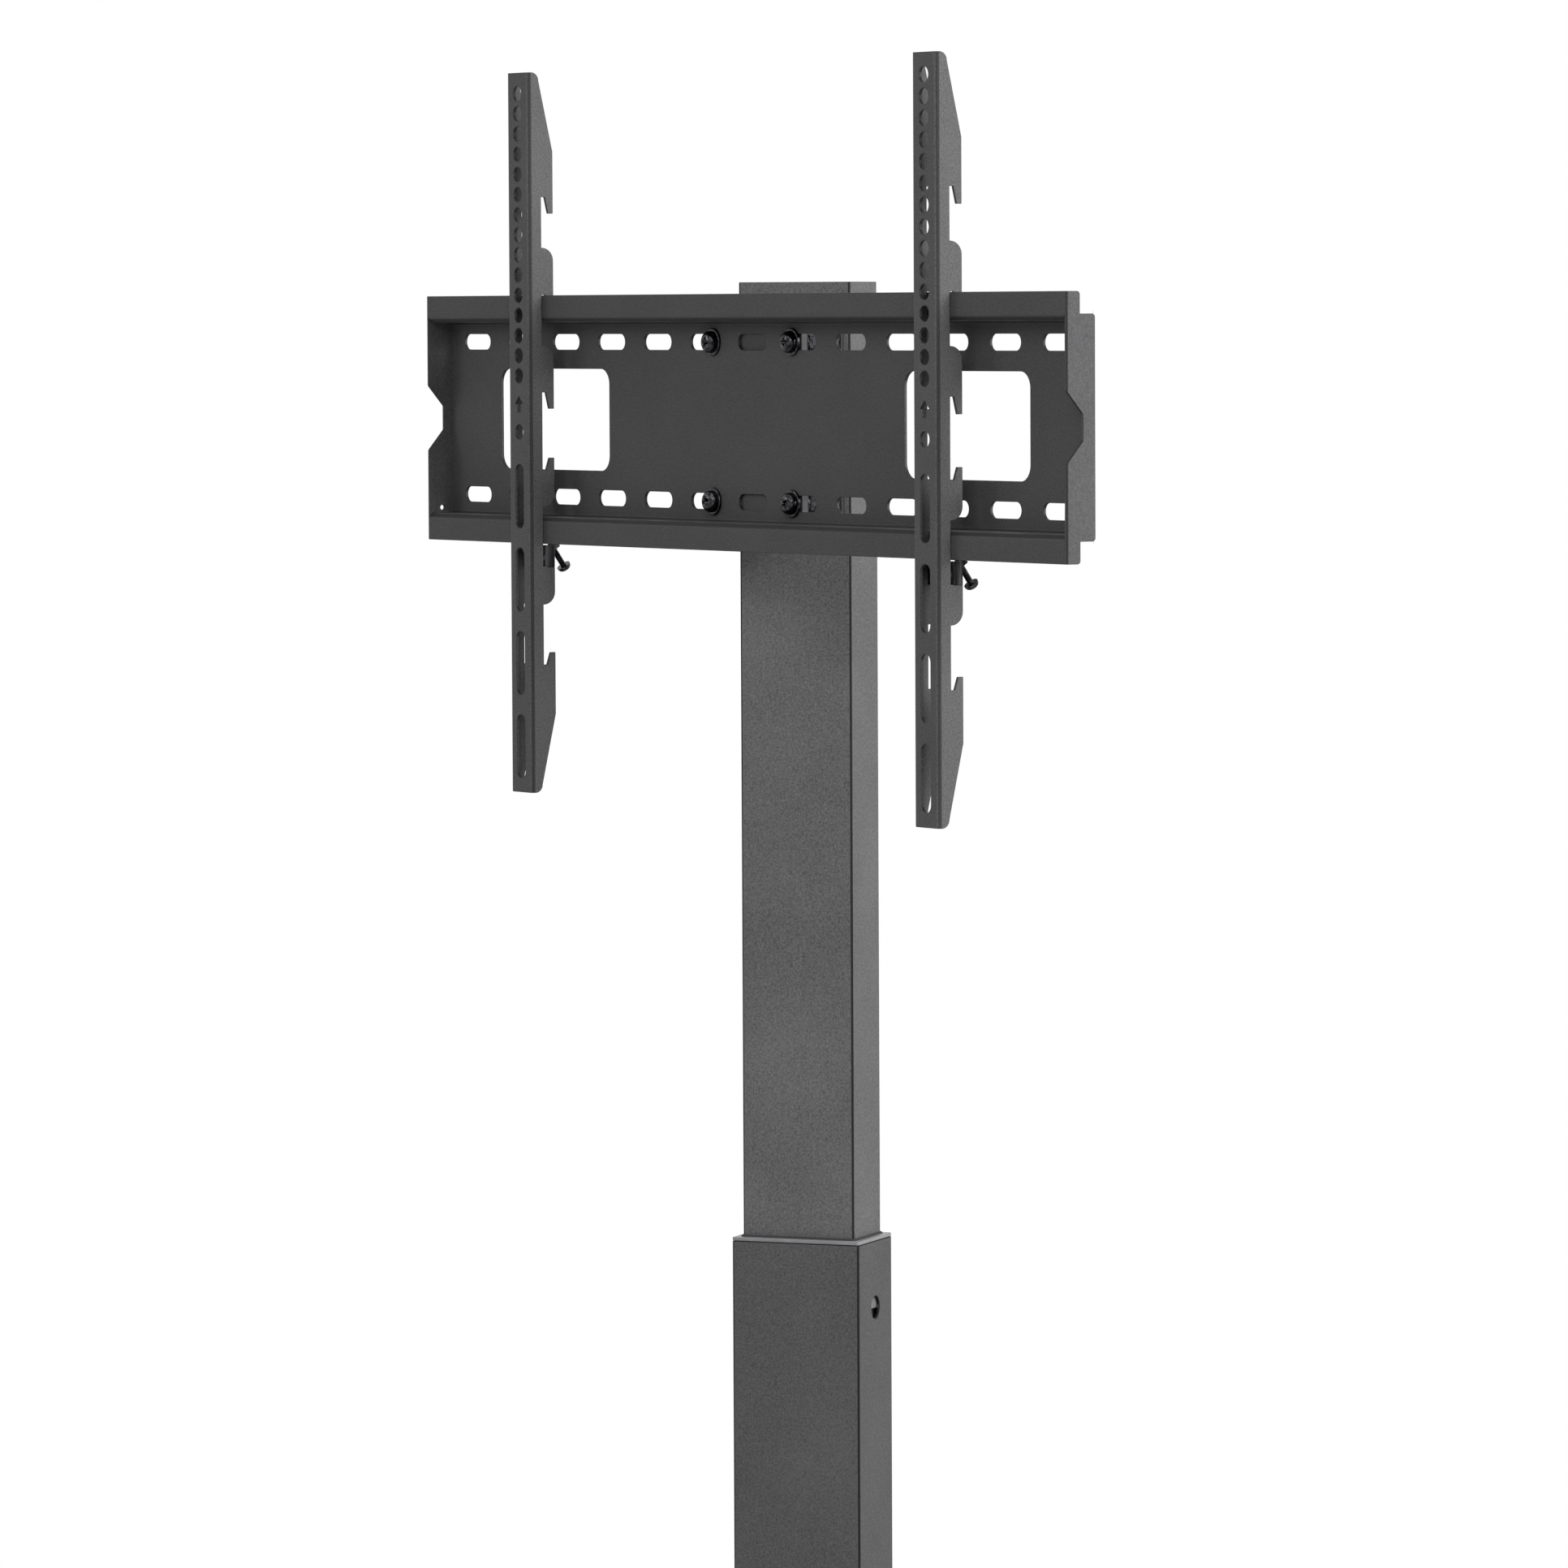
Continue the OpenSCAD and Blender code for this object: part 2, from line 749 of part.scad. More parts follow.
// upper half of the wall plate's bent section, drawn in the Y-Z plane
module half_plate_section() {
    lip_bend_y = -lip_front + sheet_t + bend_r;
    shelf_in = shelf_z - sheet_t;
    translate([-plate_front, 0]) square([sheet_t, shelf_in - bend_r]);
    translate([-plate_front - bend_r, shelf_in - bend_r]) sheet_corner(bend_r, sheet_t);
    translate([lip_bend_y, shelf_in]) square([tray_d - sheet_t - 2 * bend_r, sheet_t]);
    translate([lip_bend_y, shelf_z + bend_r]) rotate(180) sheet_corner(bend_r, sheet_t);
    translate([-lip_front, shelf_z + bend_r]) square([sheet_t, plate_h / 2 - shelf_z - bend_r]);
}

// outline of the wall plate's end, drawn in the Y-Z plane
module end_outline() {
    end_d = tray_d + sheet_t;
    difference() {
        union() {
            translate([-lip_front + end_d / 2, 0]) rounded_rect(end_d, end_rear_h, end_corner_r);
            translate([-lip_front + end_front_d / 2, 0]) rounded_rect(end_front_d, plate_h, end_corner_r);
        }
        translate([-lip_front, 0]) {
            polygon([[-over, notch_h / 2], [0, notch_h / 2], [notch_d, notch_h * notch_mouth_share / 2],
                     [notch_d, -notch_h * notch_mouth_share / 2], [0, -notch_h / 2], [-over, -notch_h / 2]]);
        }
    }
}

module plate_cut() {
    translate([0, -plate_front - over, 0]) rotate([-90, 0, 0]) {
        linear_extrude(height = sheet_t + 2 * over) children();
    }
}

module wall_plate() {
    window_x = plate_w / 2 - window_end - window_w / 2;
    color(paint) at_pivot() difference() {
        union() {
            for (side = [0, 1]) {
                mirror([0, 0, side]) along_x(plate_w) half_plate_section();
                mirror([side, 0, 0]) translate([(plate_w - sheet_t) / 2, 0, 0]) {
                    along_x(sheet_t) end_outline();
                }
            }
        }
        for (side = [-1, 1]) {
            translate([side * window_x, 0, 0]) plate_cut() rounded_rect(window_w, window_h, window_r);
            for (i = [0 : slot_count - 1]) {
                translate([(i - (slot_count - 1) / 2) * slot_pitch, 0, side * row_gap / 2]) {
                    plate_cut() slot_shape(slot_len, slot_h);
                }
            }
        }
        for (side = [0, 1]) {
            mirror([side, 0, 0]) {
                translate([plate_w / 2 - end_edge_r, end_edge_r - lip_front, -plate_h / 2 - over]) {
                    linear_extrude(height = plate_h + 2 * over) mirror([0, 1]) corner_cut(end_edge_r);
                }
            }
        }
        translate([-plate_w / 2 - over, -plate_front - rivet_hole_d, -rivet_hole_z]) rotate([0, 90, 0]) {
            cylinder(r = rivet_hole_r, h = sheet_t + 2 * over);
        }
    }
}

module plate_bolts() {
    grip = washer_t + sheet_t + swivel_t + washer_t + nut_h + bolt_tail;
    color(black) at_pivot() at_plate_bolts() translate([0, -plate_front - washer_t, 0]) {
        rotate([90, 0, 0]) cross_screw(bolt_r - fit_gap, grip, bolt_head_r, bolt_head_h);
    }
}

module plate_washers() {
    color(black) at_pivot() at_plate_bolts() for (y = [-plate_front - washer_t, web_back]) {
        translate([0, y, 0]) rotate([-90, 0, 0]) difference() {
            cylinder(r = y < web_back ? washer_r : rear_washer_r, h = washer_t);
            translate([0, 0, -over]) cylinder(r = bolt_r + fit_gap, h = washer_t + 2 * over);
        }
    }
}

module plate_nuts() {
    color(black) at_pivot() at_plate_bolts() translate([0, web_back + washer_t, 0]) {
        rotate([-90, 0, 0]) difference() {
            rotate([0, 0, 30]) cylinder(r = nut_r, h = nut_h, $fn = 6);
            translate([0, 0, -over]) cylinder(r = bolt_r, h = nut_h + 2 * over);
        }
    }
}

// Screen arms
// An arm's outlines are drawn with the depth behind its web's face as Y, and Z counted down from its top.
module arm_channel() {
    half_w = arm_w / 2;
    corner_x = half_w - arm_bend_r;
    translate([0, 0, -arm_len]) linear_extrude(height = arm_len) {
        translate([-corner_x, 0]) square([2 * corner_x, sheet_t]);
        for (side = [0, 1]) {
            mirror([side, 0]) {
                translate([corner_x, arm_bend_r]) rotate(-90) sheet_corner(arm_bend_r - sheet_t, sheet_t);
                translate([half_w - sheet_t, arm_bend_r]) square([sheet_t, arm_d - arm_bend_r]);
            }
        }
    }
}

// slot behind a hook's tooth
module hook_slot(start, tooth) {
    polygon([[rest_d, -start - tooth], [rest_d, -start], [rest_d + hook_top_w, -start],
             [rest_d + hook_mouth_w, -start - tooth]]);
}

// recess for a lip, with a tooth over its end that hooks behind the lip
module hook_recess(start, len, tooth) {
    hook_slot(start, tooth);
    translate([rest_d, -start - len]) square([arm_d - rest_d + over, len - tooth]);
    translate([arm_d - recess_r, -start - len - recess_r]) corner_cut(recess_r);
}

module arm_outline() {
    flat_end = arm_end_d - arm_corner_r;
    difference() {
        polygon([[0, 0], [arm_end_d, 0], [arm_end_d, -arm_corner_r], [arm_d, -arm_taper],
                 [arm_d, arm_taper - arm_len], [arm_end_d, arm_corner_r - arm_len],
                 [arm_end_d, -arm_len], [0, -arm_len]]);
        translate([flat_end, -arm_corner_r]) corner_cut(arm_corner_r);
        translate([flat_end, arm_corner_r - arm_len]) mirror([0, 1]) corner_cut(arm_corner_r);
        for (start = [first_hook, main_hook]) {
            hook_recess(start, upper_recess, tooth_len);
            translate([0, -hook_span]) mirror([0, 1]) hook_recess(start, lower_recess, lower_tooth_len);
        }
        hook_slot(middle_hook, tooth_len);
        translate([0, -hook_span]) mirror([0, 1]) hook_slot(middle_hook, lower_tooth_len);
        translate([rest_d, middle_hook + lower_tooth_len - hook_span]) {
            square([arm_d - rest_d + over, middle_recess - tooth_len - lower_tooth_len]);
        }
        translate([rest_d, -latch_bottom]) square([arm_d - rest_d + over, lower_tooth_len + over]);
    }
}

// arrow that points to an arm's upper end, drawn round its middle
module arrow_shape() {
    head_w = arrow_h * arrow_w_share / 2;
    stem_w = head_w * arrow_stem_share;
    neck_z = arrow_h * (arrow_head_share - 1 / 2);
    polygon([[0, arrow_h / 2], [head_w, neck_z], [stem_w, neck_z], [stem_w, -arrow_h / 2],
             [-stem_w, -arrow_h / 2], [-stem_w, neck_z], [-head_w, neck_z]]);
}

module web_cut(drop) {
    translate([0, sheet_t + over, -drop]) rotate([90, 0, 0]) {
        linear_extrude(height = sheet_t + 2 * over) children();
    }
}

module screen_arm() {
    color(paint) difference() {
        intersection() {
            arm_channel();
            along_x(arm_w) arm_outline();
        }
        for (i = [0 : hole_count - 1]) {
            web_cut(hole_start + i * hole_pitch) circle(r = hole_r);
        }
        web_cut(single_hole) circle(r = hole_r);
        web_cut(arrow_drop) arrow_shape();
        for (i = [0 : long_slot_count - 1]) {
            web_cut(long_slot_start + long_slot_len / 2 + i * long_slot_pitch) {
                rotate(90) slot_shape(long_slot_len, long_slot_w);
            }
        }
    }
}

// Latches
// places the ramp's own axes: origin on the ramp's centre line, Z square to it and upward
module on_ramp() {
    translate([latch_x, rest_d + latch_t, -latch_bottom + ramp_drop]) rotate([ramp_angle, 0, 0]) children();
}

module at_lock_screw() {
    on_ramp() translate([0, ramp_len * ramp_hole_share, 0]) children();
}

module latch() {
    leg_right = arm_w / 2 - latch_curl_r;
    ear_left = arm_w / 2 + latch_ear - latch_ear_r;
    color(black) difference() {
        union() {
            translate([0, 0, -latch_bottom]) linear_extrude(height = latch_h) {
                translate([-arm_w / 2, rest_d]) square([arm_w / 2 + leg_right, latch_t]);
                translate([leg_right, rest_d + latch_curl_r]) rotate(-90) {
                    sheet_corner(latch_curl_r - latch_t, latch_t);
                }
            }
            translate([0, 0, -latch_bottom]) linear_extrude(height = latch_ear_h) {
                translate([-ear_left, rest_d]) square([latch_ear, latch_t]);
                translate([-ear_left, rest_d + latch_ear_r]) rotate(180) {
                    sheet_corner(latch_ear_r - latch_t, latch_t);
                }
            }
            on_ramp() translate([-ramp_w / 2, -latch_t, -latch_t / 2]) {
                cube([ramp_w, ramp_len + latch_t, latch_t]);
            }
        }
        at_lock_screw() cylinder(r = lock_r + run_gap, h = 2 * latch_t, center = true);
    }
}

module lock_screw() {
    color(black) at_lock_screw() translate([0, 0, lock_tip - lock_len]) rotate([180, 0, 0]) {
        cross_screw(lock_r, lock_len, lock_head_r, lock_head_h);
    }
}

module left_arm() { at_arm(-1) screen_arm(); }
module left_latch() { at_arm(-1) latch(); }
module left_lock_screw() { at_arm(-1) lock_screw(); }
module right_arm() { at_arm(1) screen_arm(); }
module right_latch() { at_arm(1) latch(); }
module right_lock_screw() { at_arm(1) lock_screw(); }

floor_plate();
floor_pads();
foot_flange();
foot_screws();
outer_tube();
collar_ring();
upper_glides();
motor_plate();
gear_motor();
screw_bearing();
power_inlet();
lead_screw();
inner_tube();
tube_cap();
lower_glide();
drive_nut();
column_bracket();
bracket_bolts();
pivot_pin();
pivot_washers();
pivot_nut();
swivel_bracket();
pivot_barrel();
wall_plate();
plate_bolts();
plate_washers();
plate_nuts();
left_arm();
left_latch();
left_lock_screw();
right_arm();
right_latch();
right_lock_screw();
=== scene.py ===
import logging
import math
from dataclasses import dataclass
from enum import Enum
from typing import Sequence

import bmesh
import bpy
import numpy as np
from mathutils import Matrix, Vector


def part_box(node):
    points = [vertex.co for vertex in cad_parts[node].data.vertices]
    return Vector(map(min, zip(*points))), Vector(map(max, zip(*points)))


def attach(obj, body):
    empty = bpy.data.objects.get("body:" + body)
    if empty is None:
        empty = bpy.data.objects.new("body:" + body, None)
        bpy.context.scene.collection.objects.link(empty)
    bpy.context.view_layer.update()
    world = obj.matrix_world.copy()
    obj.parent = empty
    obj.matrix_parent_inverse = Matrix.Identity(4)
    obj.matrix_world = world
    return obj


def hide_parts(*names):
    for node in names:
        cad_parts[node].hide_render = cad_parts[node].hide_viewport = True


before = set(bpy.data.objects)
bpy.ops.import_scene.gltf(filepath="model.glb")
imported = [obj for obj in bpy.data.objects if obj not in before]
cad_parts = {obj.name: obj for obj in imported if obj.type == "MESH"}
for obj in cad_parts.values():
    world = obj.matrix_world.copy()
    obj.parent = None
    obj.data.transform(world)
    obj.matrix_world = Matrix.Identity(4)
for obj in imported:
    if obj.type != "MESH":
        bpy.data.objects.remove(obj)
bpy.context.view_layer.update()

# A floor stand for a flat screen: base, column with its lift drive, swivel, wall plate and screen arms.
# Sizes are in millimetres, in the axes of the sub-assembly that they belong to. A Place turns them into
# metres in the frame, so every finished piece's object sits at the origin with its place in its mesh.

LOG = logging.getLogger("tv_stand")
MM = 0.001
NO_LIMIT = np.inf
WHITE = (1.0, 1.0, 1.0, 1.0)
GRID_DOUBLES = 1e-7  # metres, between the points of a pole's row
NODE_DOUBLES = 1e-6  # metres, between the points of a node's loose triangles
NODE_FLAT = 0.6  # degrees, up to which two of a node's triangles are one face
CREASE = 32.0  # degrees, above which an edge counts as sharp
FINE = 3  # faces across an edge that is wide or seen from near, where others have two
CORNERS = ((-1, -1), (-1, 1), (1, -1), (1, 1))
NOISE_SPAN = (0.3, 0.7)  # a noise's values lie between these, apart from rare peaks

Tree = bpy.types.NodeTree
Socket = bpy.types.NodeSocket
Piece = bpy.types.Object

# Places


def turned_about_z(radians: float) -> np.ndarray:
    """Returns three unit axes as columns after a turn about Z."""
    cosine, sine = math.cos(radians), math.sin(radians)
    return np.array([[cosine, -sine, 0], [sine, cosine, 0], [0, 0, 1]])


@dataclass(frozen=True)
class Place:
    """A set of axes in the frame.

    Attributes:
        origin: the axes' origin in the frame, in millimetres.
        axes: the three unit axes as columns.
    """

    origin: np.ndarray
    axes: np.ndarray

    def put(self, points: np.ndarray) -> np.ndarray:
        """Carries points into the frame: origin plus axes times point.

        Args:
            points: an array of points in millimetres, its last axis being X, Y, Z.

        Returns:
            The points in metres in the frame.
        """
        return (points @ self.axes.T + self.origin) * MM

    def shifted(self, x: float = 0.0, y: float = 0.0, z: float = 0.0) -> "Place":
        """Returns the same axes with their origin moved along themselves, in millimetres."""
        return Place(self.origin + self.axes @ np.array([x, y, z]), self.axes)

    def facing(self, direction: Sequence[float]) -> "Place":
        """Turns the axes about their origin until Z points along a direction.

        Args:
            direction: the direction in these axes, of any length.

        Returns:
            The turned axes, with X level where it can be.
        """
        forward = np.array(direction, float) / np.linalg.norm(direction)
        upright = np.array([0.0, 0.0, 1.0])
        across = np.cross(upright, forward)
        if np.linalg.norm(across) < 1e-6:
            across = np.array([1.0, 0.0, 0.0])
        across = across / np.linalg.norm(across)
        local = np.stack([across, np.cross(forward, across), forward], axis=1)
        return Place(self.origin, self.axes @ local)


def box_mm(node: str) -> tuple[np.ndarray, np.ndarray]:
    """Returns a node's lowest and highest corners in millimetres."""
    low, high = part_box(node)
    return np.array(low) / MM, np.array(high) / MM


@dataclass(frozen=True)
class Layout:
    """The axes that the sub-assemblies share, read from the frame's own nodes."""

    column: Place
    swivel_on_column: Place
    swivel: Place

    @classmethod
    def measured(cls) -> "Layout":
        """Works the places out from the boxes of the wall plate and of the washers on the swivel's pin.

        Returns:
            The places of the column, and of the swivel with the column's turn and with the wall plate's.
        """
        pin_low, pin_high = box_mm("pivot_washers")
        plate_low, plate_high = box_mm("wall_plate")
        axis_x, axis_y = ((pin_low + pin_high) / 2)[:2]
        height = (plate_low[2] + plate_high[2]) / 2
        turned = turned_about_z(math.atan2(axis_x, -axis_y))
        pivot = np.array([axis_x, axis_y, height])
        return cls(Place(np.zeros(3), turned), Place(pivot, turned), Place(pivot, np.eye(3)))

    def half_sizes(self, node: str, corner_r: float) -> np.ndarray:
        """Half the width and half the depth of a rounded rectangle that is turned with the column.

        With the corner radius r, the half sizes a and b give the box's half sizes (a - r) cos + (b - r) sin
        + r and (a - r) sin + (b - r) cos + r, which is solved for a and b.

        Args:
            node: a node whose plan is a rounded rectangle, or a round piece at each corner of one.
            corner_r: its corner radius in millimetres.

        Returns:
            The half width and the half depth in millimetres.
        """
        low, high = box_mm(node)
        turning = np.abs(self.column.axes[:2, :2])
        return np.linalg.solve(turning, (high - low)[:2] / 2 - corner_r) + corner_r


# Surfaces


def round_angles(columns: int) -> np.ndarray:
    """Returns the angles of the points in a ring, as one row."""
    return np.linspace(0, 2 * np.pi, columns, endpoint=False)[None, :]


def polar(radius: np.ndarray, angle: np.ndarray, height: np.ndarray | float) -> np.ndarray:
    """Returns points from their radius and angle about Z and their height, spread to one shape."""
    return np.stack(np.broadcast_arrays(radius * np.cos(angle), radius * np.sin(angle), height), axis=-1)


def turned_surface(rows: np.ndarray, columns: int) -> np.ndarray:
    """A turned or hexagonal surface about Z.

    At the angle a and the row s the radius is the smaller of the row's round radius and its hexagon's
    radius, which is the row's apothem divided by the cosine of a folded into plus or minus 30 degrees.

    Args:
        rows: for each row its round radius, its hexagon's apothem and its height, in millimetres.
        columns: number of points round the axis, a multiple of 12 so that it meets the hexagon's corners.

    Returns:
        Points in rows and columns.
    """
    angle = round_angles(columns)
    folded = (angle + np.pi / 6) % (np.pi / 3) - np.pi / 6
    radius = np.minimum(rows[:, :1], rows[:, 1:2] / np.cos(folded))
    return polar(radius, angle, rows[:, 2:])


def round_rows(profile: Sequence[tuple[float, float]]) -> np.ndarray:
    """Returns rows for turned_surface from pairs of radius and height, with no hexagon."""
    return np.array([(radius, NO_LIMIT, height) for radius, height in profile])


def rounded_edge(
    radius: float, height: float, bend: float, down: bool, steps: int = 5
) -> list[tuple[float, float]]:
    """Pairs of radius and height round the rim of a turned face.

    The centre of the bend is its radius inside the rim and the face, and the angle goes from the face to
    the side.

    Args:
        radius: the rim's outer radius.
        height: the face's height.
        bend: the radius of the rounding.
        down: true where the face looks up and the side runs down from it.
        steps: number of points on the rounding.

    Returns:
        The pairs, from the face outwards where down is true, and from the side to the face otherwise.
    """
    angle = np.linspace(0, np.pi / 2, steps)
    sign = 1 if down else -1
    outward, drop = bend * np.sin(angle), bend * (1 - np.cos(angle))
    pairs = np.stack([radius - bend + outward, height - sign * drop], axis=1)
    return [tuple(pair) for pair in (pairs if down else pairs[::-1]).tolist()]


def threaded_surface(
    crest: float,
    depth: float,
    pitch: float,
    starts: int,
    top: float,
    bottom: float,
    columns: int,
    per_pitch: int,
) -> np.ndarray:
    """A screw thread about Z, from its upper end down.

    The ridge's share at the angle a and the height z is a flat-topped triangle wave of z / pitch - starts *
    a / turn, and the radius is crest - depth * (1 - ridge). The depth fades in over the first and the last
    half pitch.

    Args:
        crest: radius over the ridges.
        depth: depth of the grooves.
        pitch: distance between two ridges along the axis.
        starts: number of threads side by side.
        top: height of the thread's upper end.
        bottom: height of its lower end.
        columns: number of points round the axis.
        per_pitch: number of rows for each pitch.

    Returns:
        Points in rows and columns.
    """
    count = max(4, int(round((top - bottom) / pitch * per_pitch)) + 1)
    height = np.linspace(top, bottom, count)[:, None]
    angle = round_angles(columns)
    wave = np.abs(2 * ((height / pitch - starts * angle / (2 * np.pi)) % 1) - 1)
    ridge = np.clip((wave - 0.2) / 0.6, 0, 1)
    fade = np.clip(np.minimum(top - height, height - bottom) / (pitch / 2), 0, 1)
    radius = crest - depth * (1 - ridge) * fade
    return polar(radius, angle, height)


def cross_recess_surface(head_r: float, head_h: float, rows: int, columns: int) -> np.ndarray:
    """The top of a pan head with a cross recess, from its middle to its rim.

    The dome's height at the radius r is head_h times (1 - (r / head_r) ** 3.2) ** (1 / 2.4). From it goes
    the recess, the deepest of two wings at right angles and a cone in the middle. A wing is a smooth step
    across its width times a depth that falls from the middle to its tip.

    Args:
        head_r: the head's radius.
        head_h: the head's height.
        rows: number of rings from the middle to the rim.
        columns: number of points in a ring.

    Returns:
        Points in rows and columns, with the seat at zero.
    """
    share = np.sin(np.linspace(0, np.pi / 2, rows))[:, None]
    angle = round_angles(columns)
    radius = share * head_r
    x, y = radius * np.cos(angle), radius * np.sin(angle)
    dome = head_h * np.clip(1 - share**3.2, 0, 1) ** (1 / 2.4)
    wing_half, wing_len, deepest = head_r * 0.1, head_r * 0.5, head_h * 0.5
    softness = head_r * 0.05

    def wing(along: np.ndarray, across: np.ndarray) -> np.ndarray:
        """Returns the depth of a wing that runs along the first axis."""
        inside = np.clip((wing_half + softness - np.abs(across)) / (2 * softness), 0, 1)
        slope = np.clip((wing_len - np.abs(along)) / (wing_len * 0.55), 0, 1)
        return inside * inside * (3 - 2 * inside) * slope * deepest

    cone = np.clip(1 - radius / (head_r * 0.3), 0, 1) * deepest * 1.1
    recess = np.maximum(np.maximum(wing(x, y), wing(y, x)), cone)
    height = np.broadcast_to(dome, recess.shape) - recess
    return np.stack([x, y, np.maximum(height, head_h * 0.05 * (1 - share))], axis=-1)


def rounded_rectangle(
    width: float, depth: float, radius: float, spacing: float
) -> tuple[np.ndarray, np.ndarray]:
    """A rounded rectangle's outline about Z, anticlockwise.

    The arc length goes round four sides and four quarter circles, and each point is the corner's centre
    plus the radius times the outward direction, or a share of the straight between two such points.

    Args:
        width: size along X.
        depth: size along Y.
        radius: corner radius.
        spacing: rough distance between points along the straights.

    Returns:
        The points and the outward directions, each as rows of X, Y, Z.
    """
    centres = np.array([[1, 1], [-1, 1], [-1, -1], [1, -1]]) * [width / 2 - radius, depth / 2 - radius]
    points, outward = [], []
    for corner in range(4):
        angle = np.linspace(corner, corner + 1, 9) * np.pi / 2
        normal = np.stack([np.cos(angle), np.sin(angle)], axis=1)
        arc = centres[corner] + radius * normal
        end = centres[(corner + 1) % 4] + radius * normal[-1]
        steps = max(2, int(np.linalg.norm(end - arc[-1]) / spacing))
        share = np.linspace(0, 1, steps, endpoint=False)[1:, None]
        points += [arc, arc[-1] * (1 - share) + end * share]
        outward += [normal, np.repeat(normal[-1:], len(share), axis=0)]
    flat, normals = np.concatenate(points), np.concatenate(outward)
    nothing = np.zeros((len(flat), 1))
    return np.hstack([flat, nothing]), np.hstack([normals, nothing])


def weld_surface(
    line: np.ndarray, wall: np.ndarray, floor: np.ndarray, leg: float, ripple: float, closed: bool
) -> np.ndarray:
    """A fillet weld's bead, carried along the corner between two surfaces.

    The section is a circle whose centre stands a tenth of the leg out of the corner. Its radius at the arc
    length s and the angle a is leg * (0.88 + 0.12 * |cos(pi * (s / ripple + 0.5 * cos(a - 45 degrees)))|),
    so that the ripples are bowed crescents. An open bead's radius falls to nothing at its ends, as the
    square root of a round end.

    Args:
        line: points of the corner.
        wall: at each point the direction that leads away from the wall.
        floor: at each point the direction that leads away from the floor.
        leg: the bead's leg length.
        ripple: distance between two ripples.
        closed: whether the line comes back to its start.

    Returns:
        Points in rows along the line and columns round the section.
    """
    steps = np.linalg.norm(np.diff(line, axis=0), axis=1)
    length = np.concatenate([[0.0], np.cumsum(steps)])
    total = length[-1] + (np.linalg.norm(line[0] - line[-1]) if closed else 0.0)
    turns = max(1.0, round(total / ripple))
    phase = (length / total * turns)[:, None]
    angle = round_angles(20)
    radius = leg * (0.88 + 0.12 * np.abs(np.cos(np.pi * (phase + 0.5 * np.cos(angle - np.pi / 4)))))
    if not closed:
        near_end = np.minimum(length, total - length)[:, None]
        radius = radius * np.sqrt(np.clip(1 - (1 - np.clip(near_end / leg, 0, 1)) ** 2, 0, 1))
    centre = line + 0.1 * leg * (wall + floor)
    return (
        centre[:, None, :]
        + (radius * np.cos(angle))[..., None] * wall[:, None, :]
        + (radius * np.sin(angle))[..., None] * floor[:, None, :]
    )


# Pieces


def linked(name: str, data: bpy.types.ID) -> Piece:
    """Returns a new object of the data, linked to the scene."""
    thing = bpy.data.objects.new(name, data)
    bpy.context.scene.collection.objects.link(thing)
    return thing


def merge(mesh: bpy.types.Mesh, distance: float, flat: float = 0.0) -> None:
    """Merges a mesh's doubled points, joins its flat faces, and shades it smooth.

    Args:
        mesh: the mesh.
        distance: how near in metres two points are one.
        flat: angle in degrees up to which two faces are joined.
    """
    shape = bmesh.new()
    shape.from_mesh(mesh)
    bmesh.ops.remove_doubles(shape, verts=shape.verts, dist=distance)
    if flat:
        bmesh.ops.dissolve_limit(shape, angle_limit=math.radians(flat), verts=shape.verts, edges=shape.edges)
    shape.to_mesh(mesh)
    shape.free()
    mesh.shade_smooth()


def mesh_piece(name: str, shells: Sequence[np.ndarray], loops: bool = False, crease: float = CREASE) -> Piece:
    """Makes one object of closed shells, each a grid of points that goes round its columns.

    A face joins the points (r, c), (r, c + 1), (r + 1, c + 1) and (r + 1, c). Rows at a pole hold one point
    many times, which is merged. The faces are turned over where the shells' signed volume comes out
    negative.

    Args:
        name: the piece's name.
        shells: points in metres, in rows and columns.
        loops: whether the last row joins the first.
        crease: angle in degrees above which an edge stays sharp.

    Returns:
        The object, linked to the scene.
    """
    points, faces, start = [], [], 0
    for shell in shells:
        rows, columns = shell.shape[:2]
        row = np.arange(rows if loops else rows - 1)[:, None] * columns
        below = (row + columns) % (rows * columns)
        column = np.arange(columns)[None, :]
        beside = (column + 1) % columns
        quads = np.stack([row + column, row + beside, below + beside, below + column], axis=-1).reshape(-1, 4)
        points.append(shell.reshape(-1, 3))
        faces.append(quads + start)
        start += rows * columns
    vertices, quads = np.concatenate(points), np.concatenate(faces)
    a, b, c, d = (vertices[quads[:, i]] for i in range(4))
    volume = np.einsum("ij,ij->", a, np.cross(b, c)) + np.einsum("ij,ij->", a, np.cross(c, d))
    if volume < 0:
        quads = quads[:, ::-1]
    mesh = bpy.data.meshes.new(name)
    mesh.from_pydata(vertices.tolist(), [], quads.tolist())
    merge(mesh, GRID_DOUBLES)
    mesh.set_sharp_from_angle(angle=math.radians(crease))
    return linked(name, mesh)


def deburred_copy(node: str, name: str, radius: float, segments: int = 2) -> Piece:
    """Copies a node, merges its loose triangles and rounds its edges, as deburring or a mould leaves them.

    Args:
        node: the node to copy.
        name: the piece's name.
        radius: the edges' radius in millimetres.
        segments: number of faces across an edge.

    Returns:
        The object, linked to the scene.
    """
    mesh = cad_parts[node].data.copy()
    mesh.name = name
    mesh.materials.clear()
    merge(mesh, NODE_DOUBLES, NODE_FLAT)
    piece = linked(name, mesh)
    edges = piece.modifiers.new("deburred_edges", "BEVEL")
    edges.width = radius * MM
    edges.segments = segments
    edges.limit_method = "ANGLE"
    edges.angle_limit = math.radians(CREASE)
    edges.use_clamp_overlap = False
    even = piece.modifiers.new("flat_face_normals", "WEIGHTED_NORMAL")
    even.mode = "FACE_AREA"
    even.weight = 100
    return piece


# Finishes


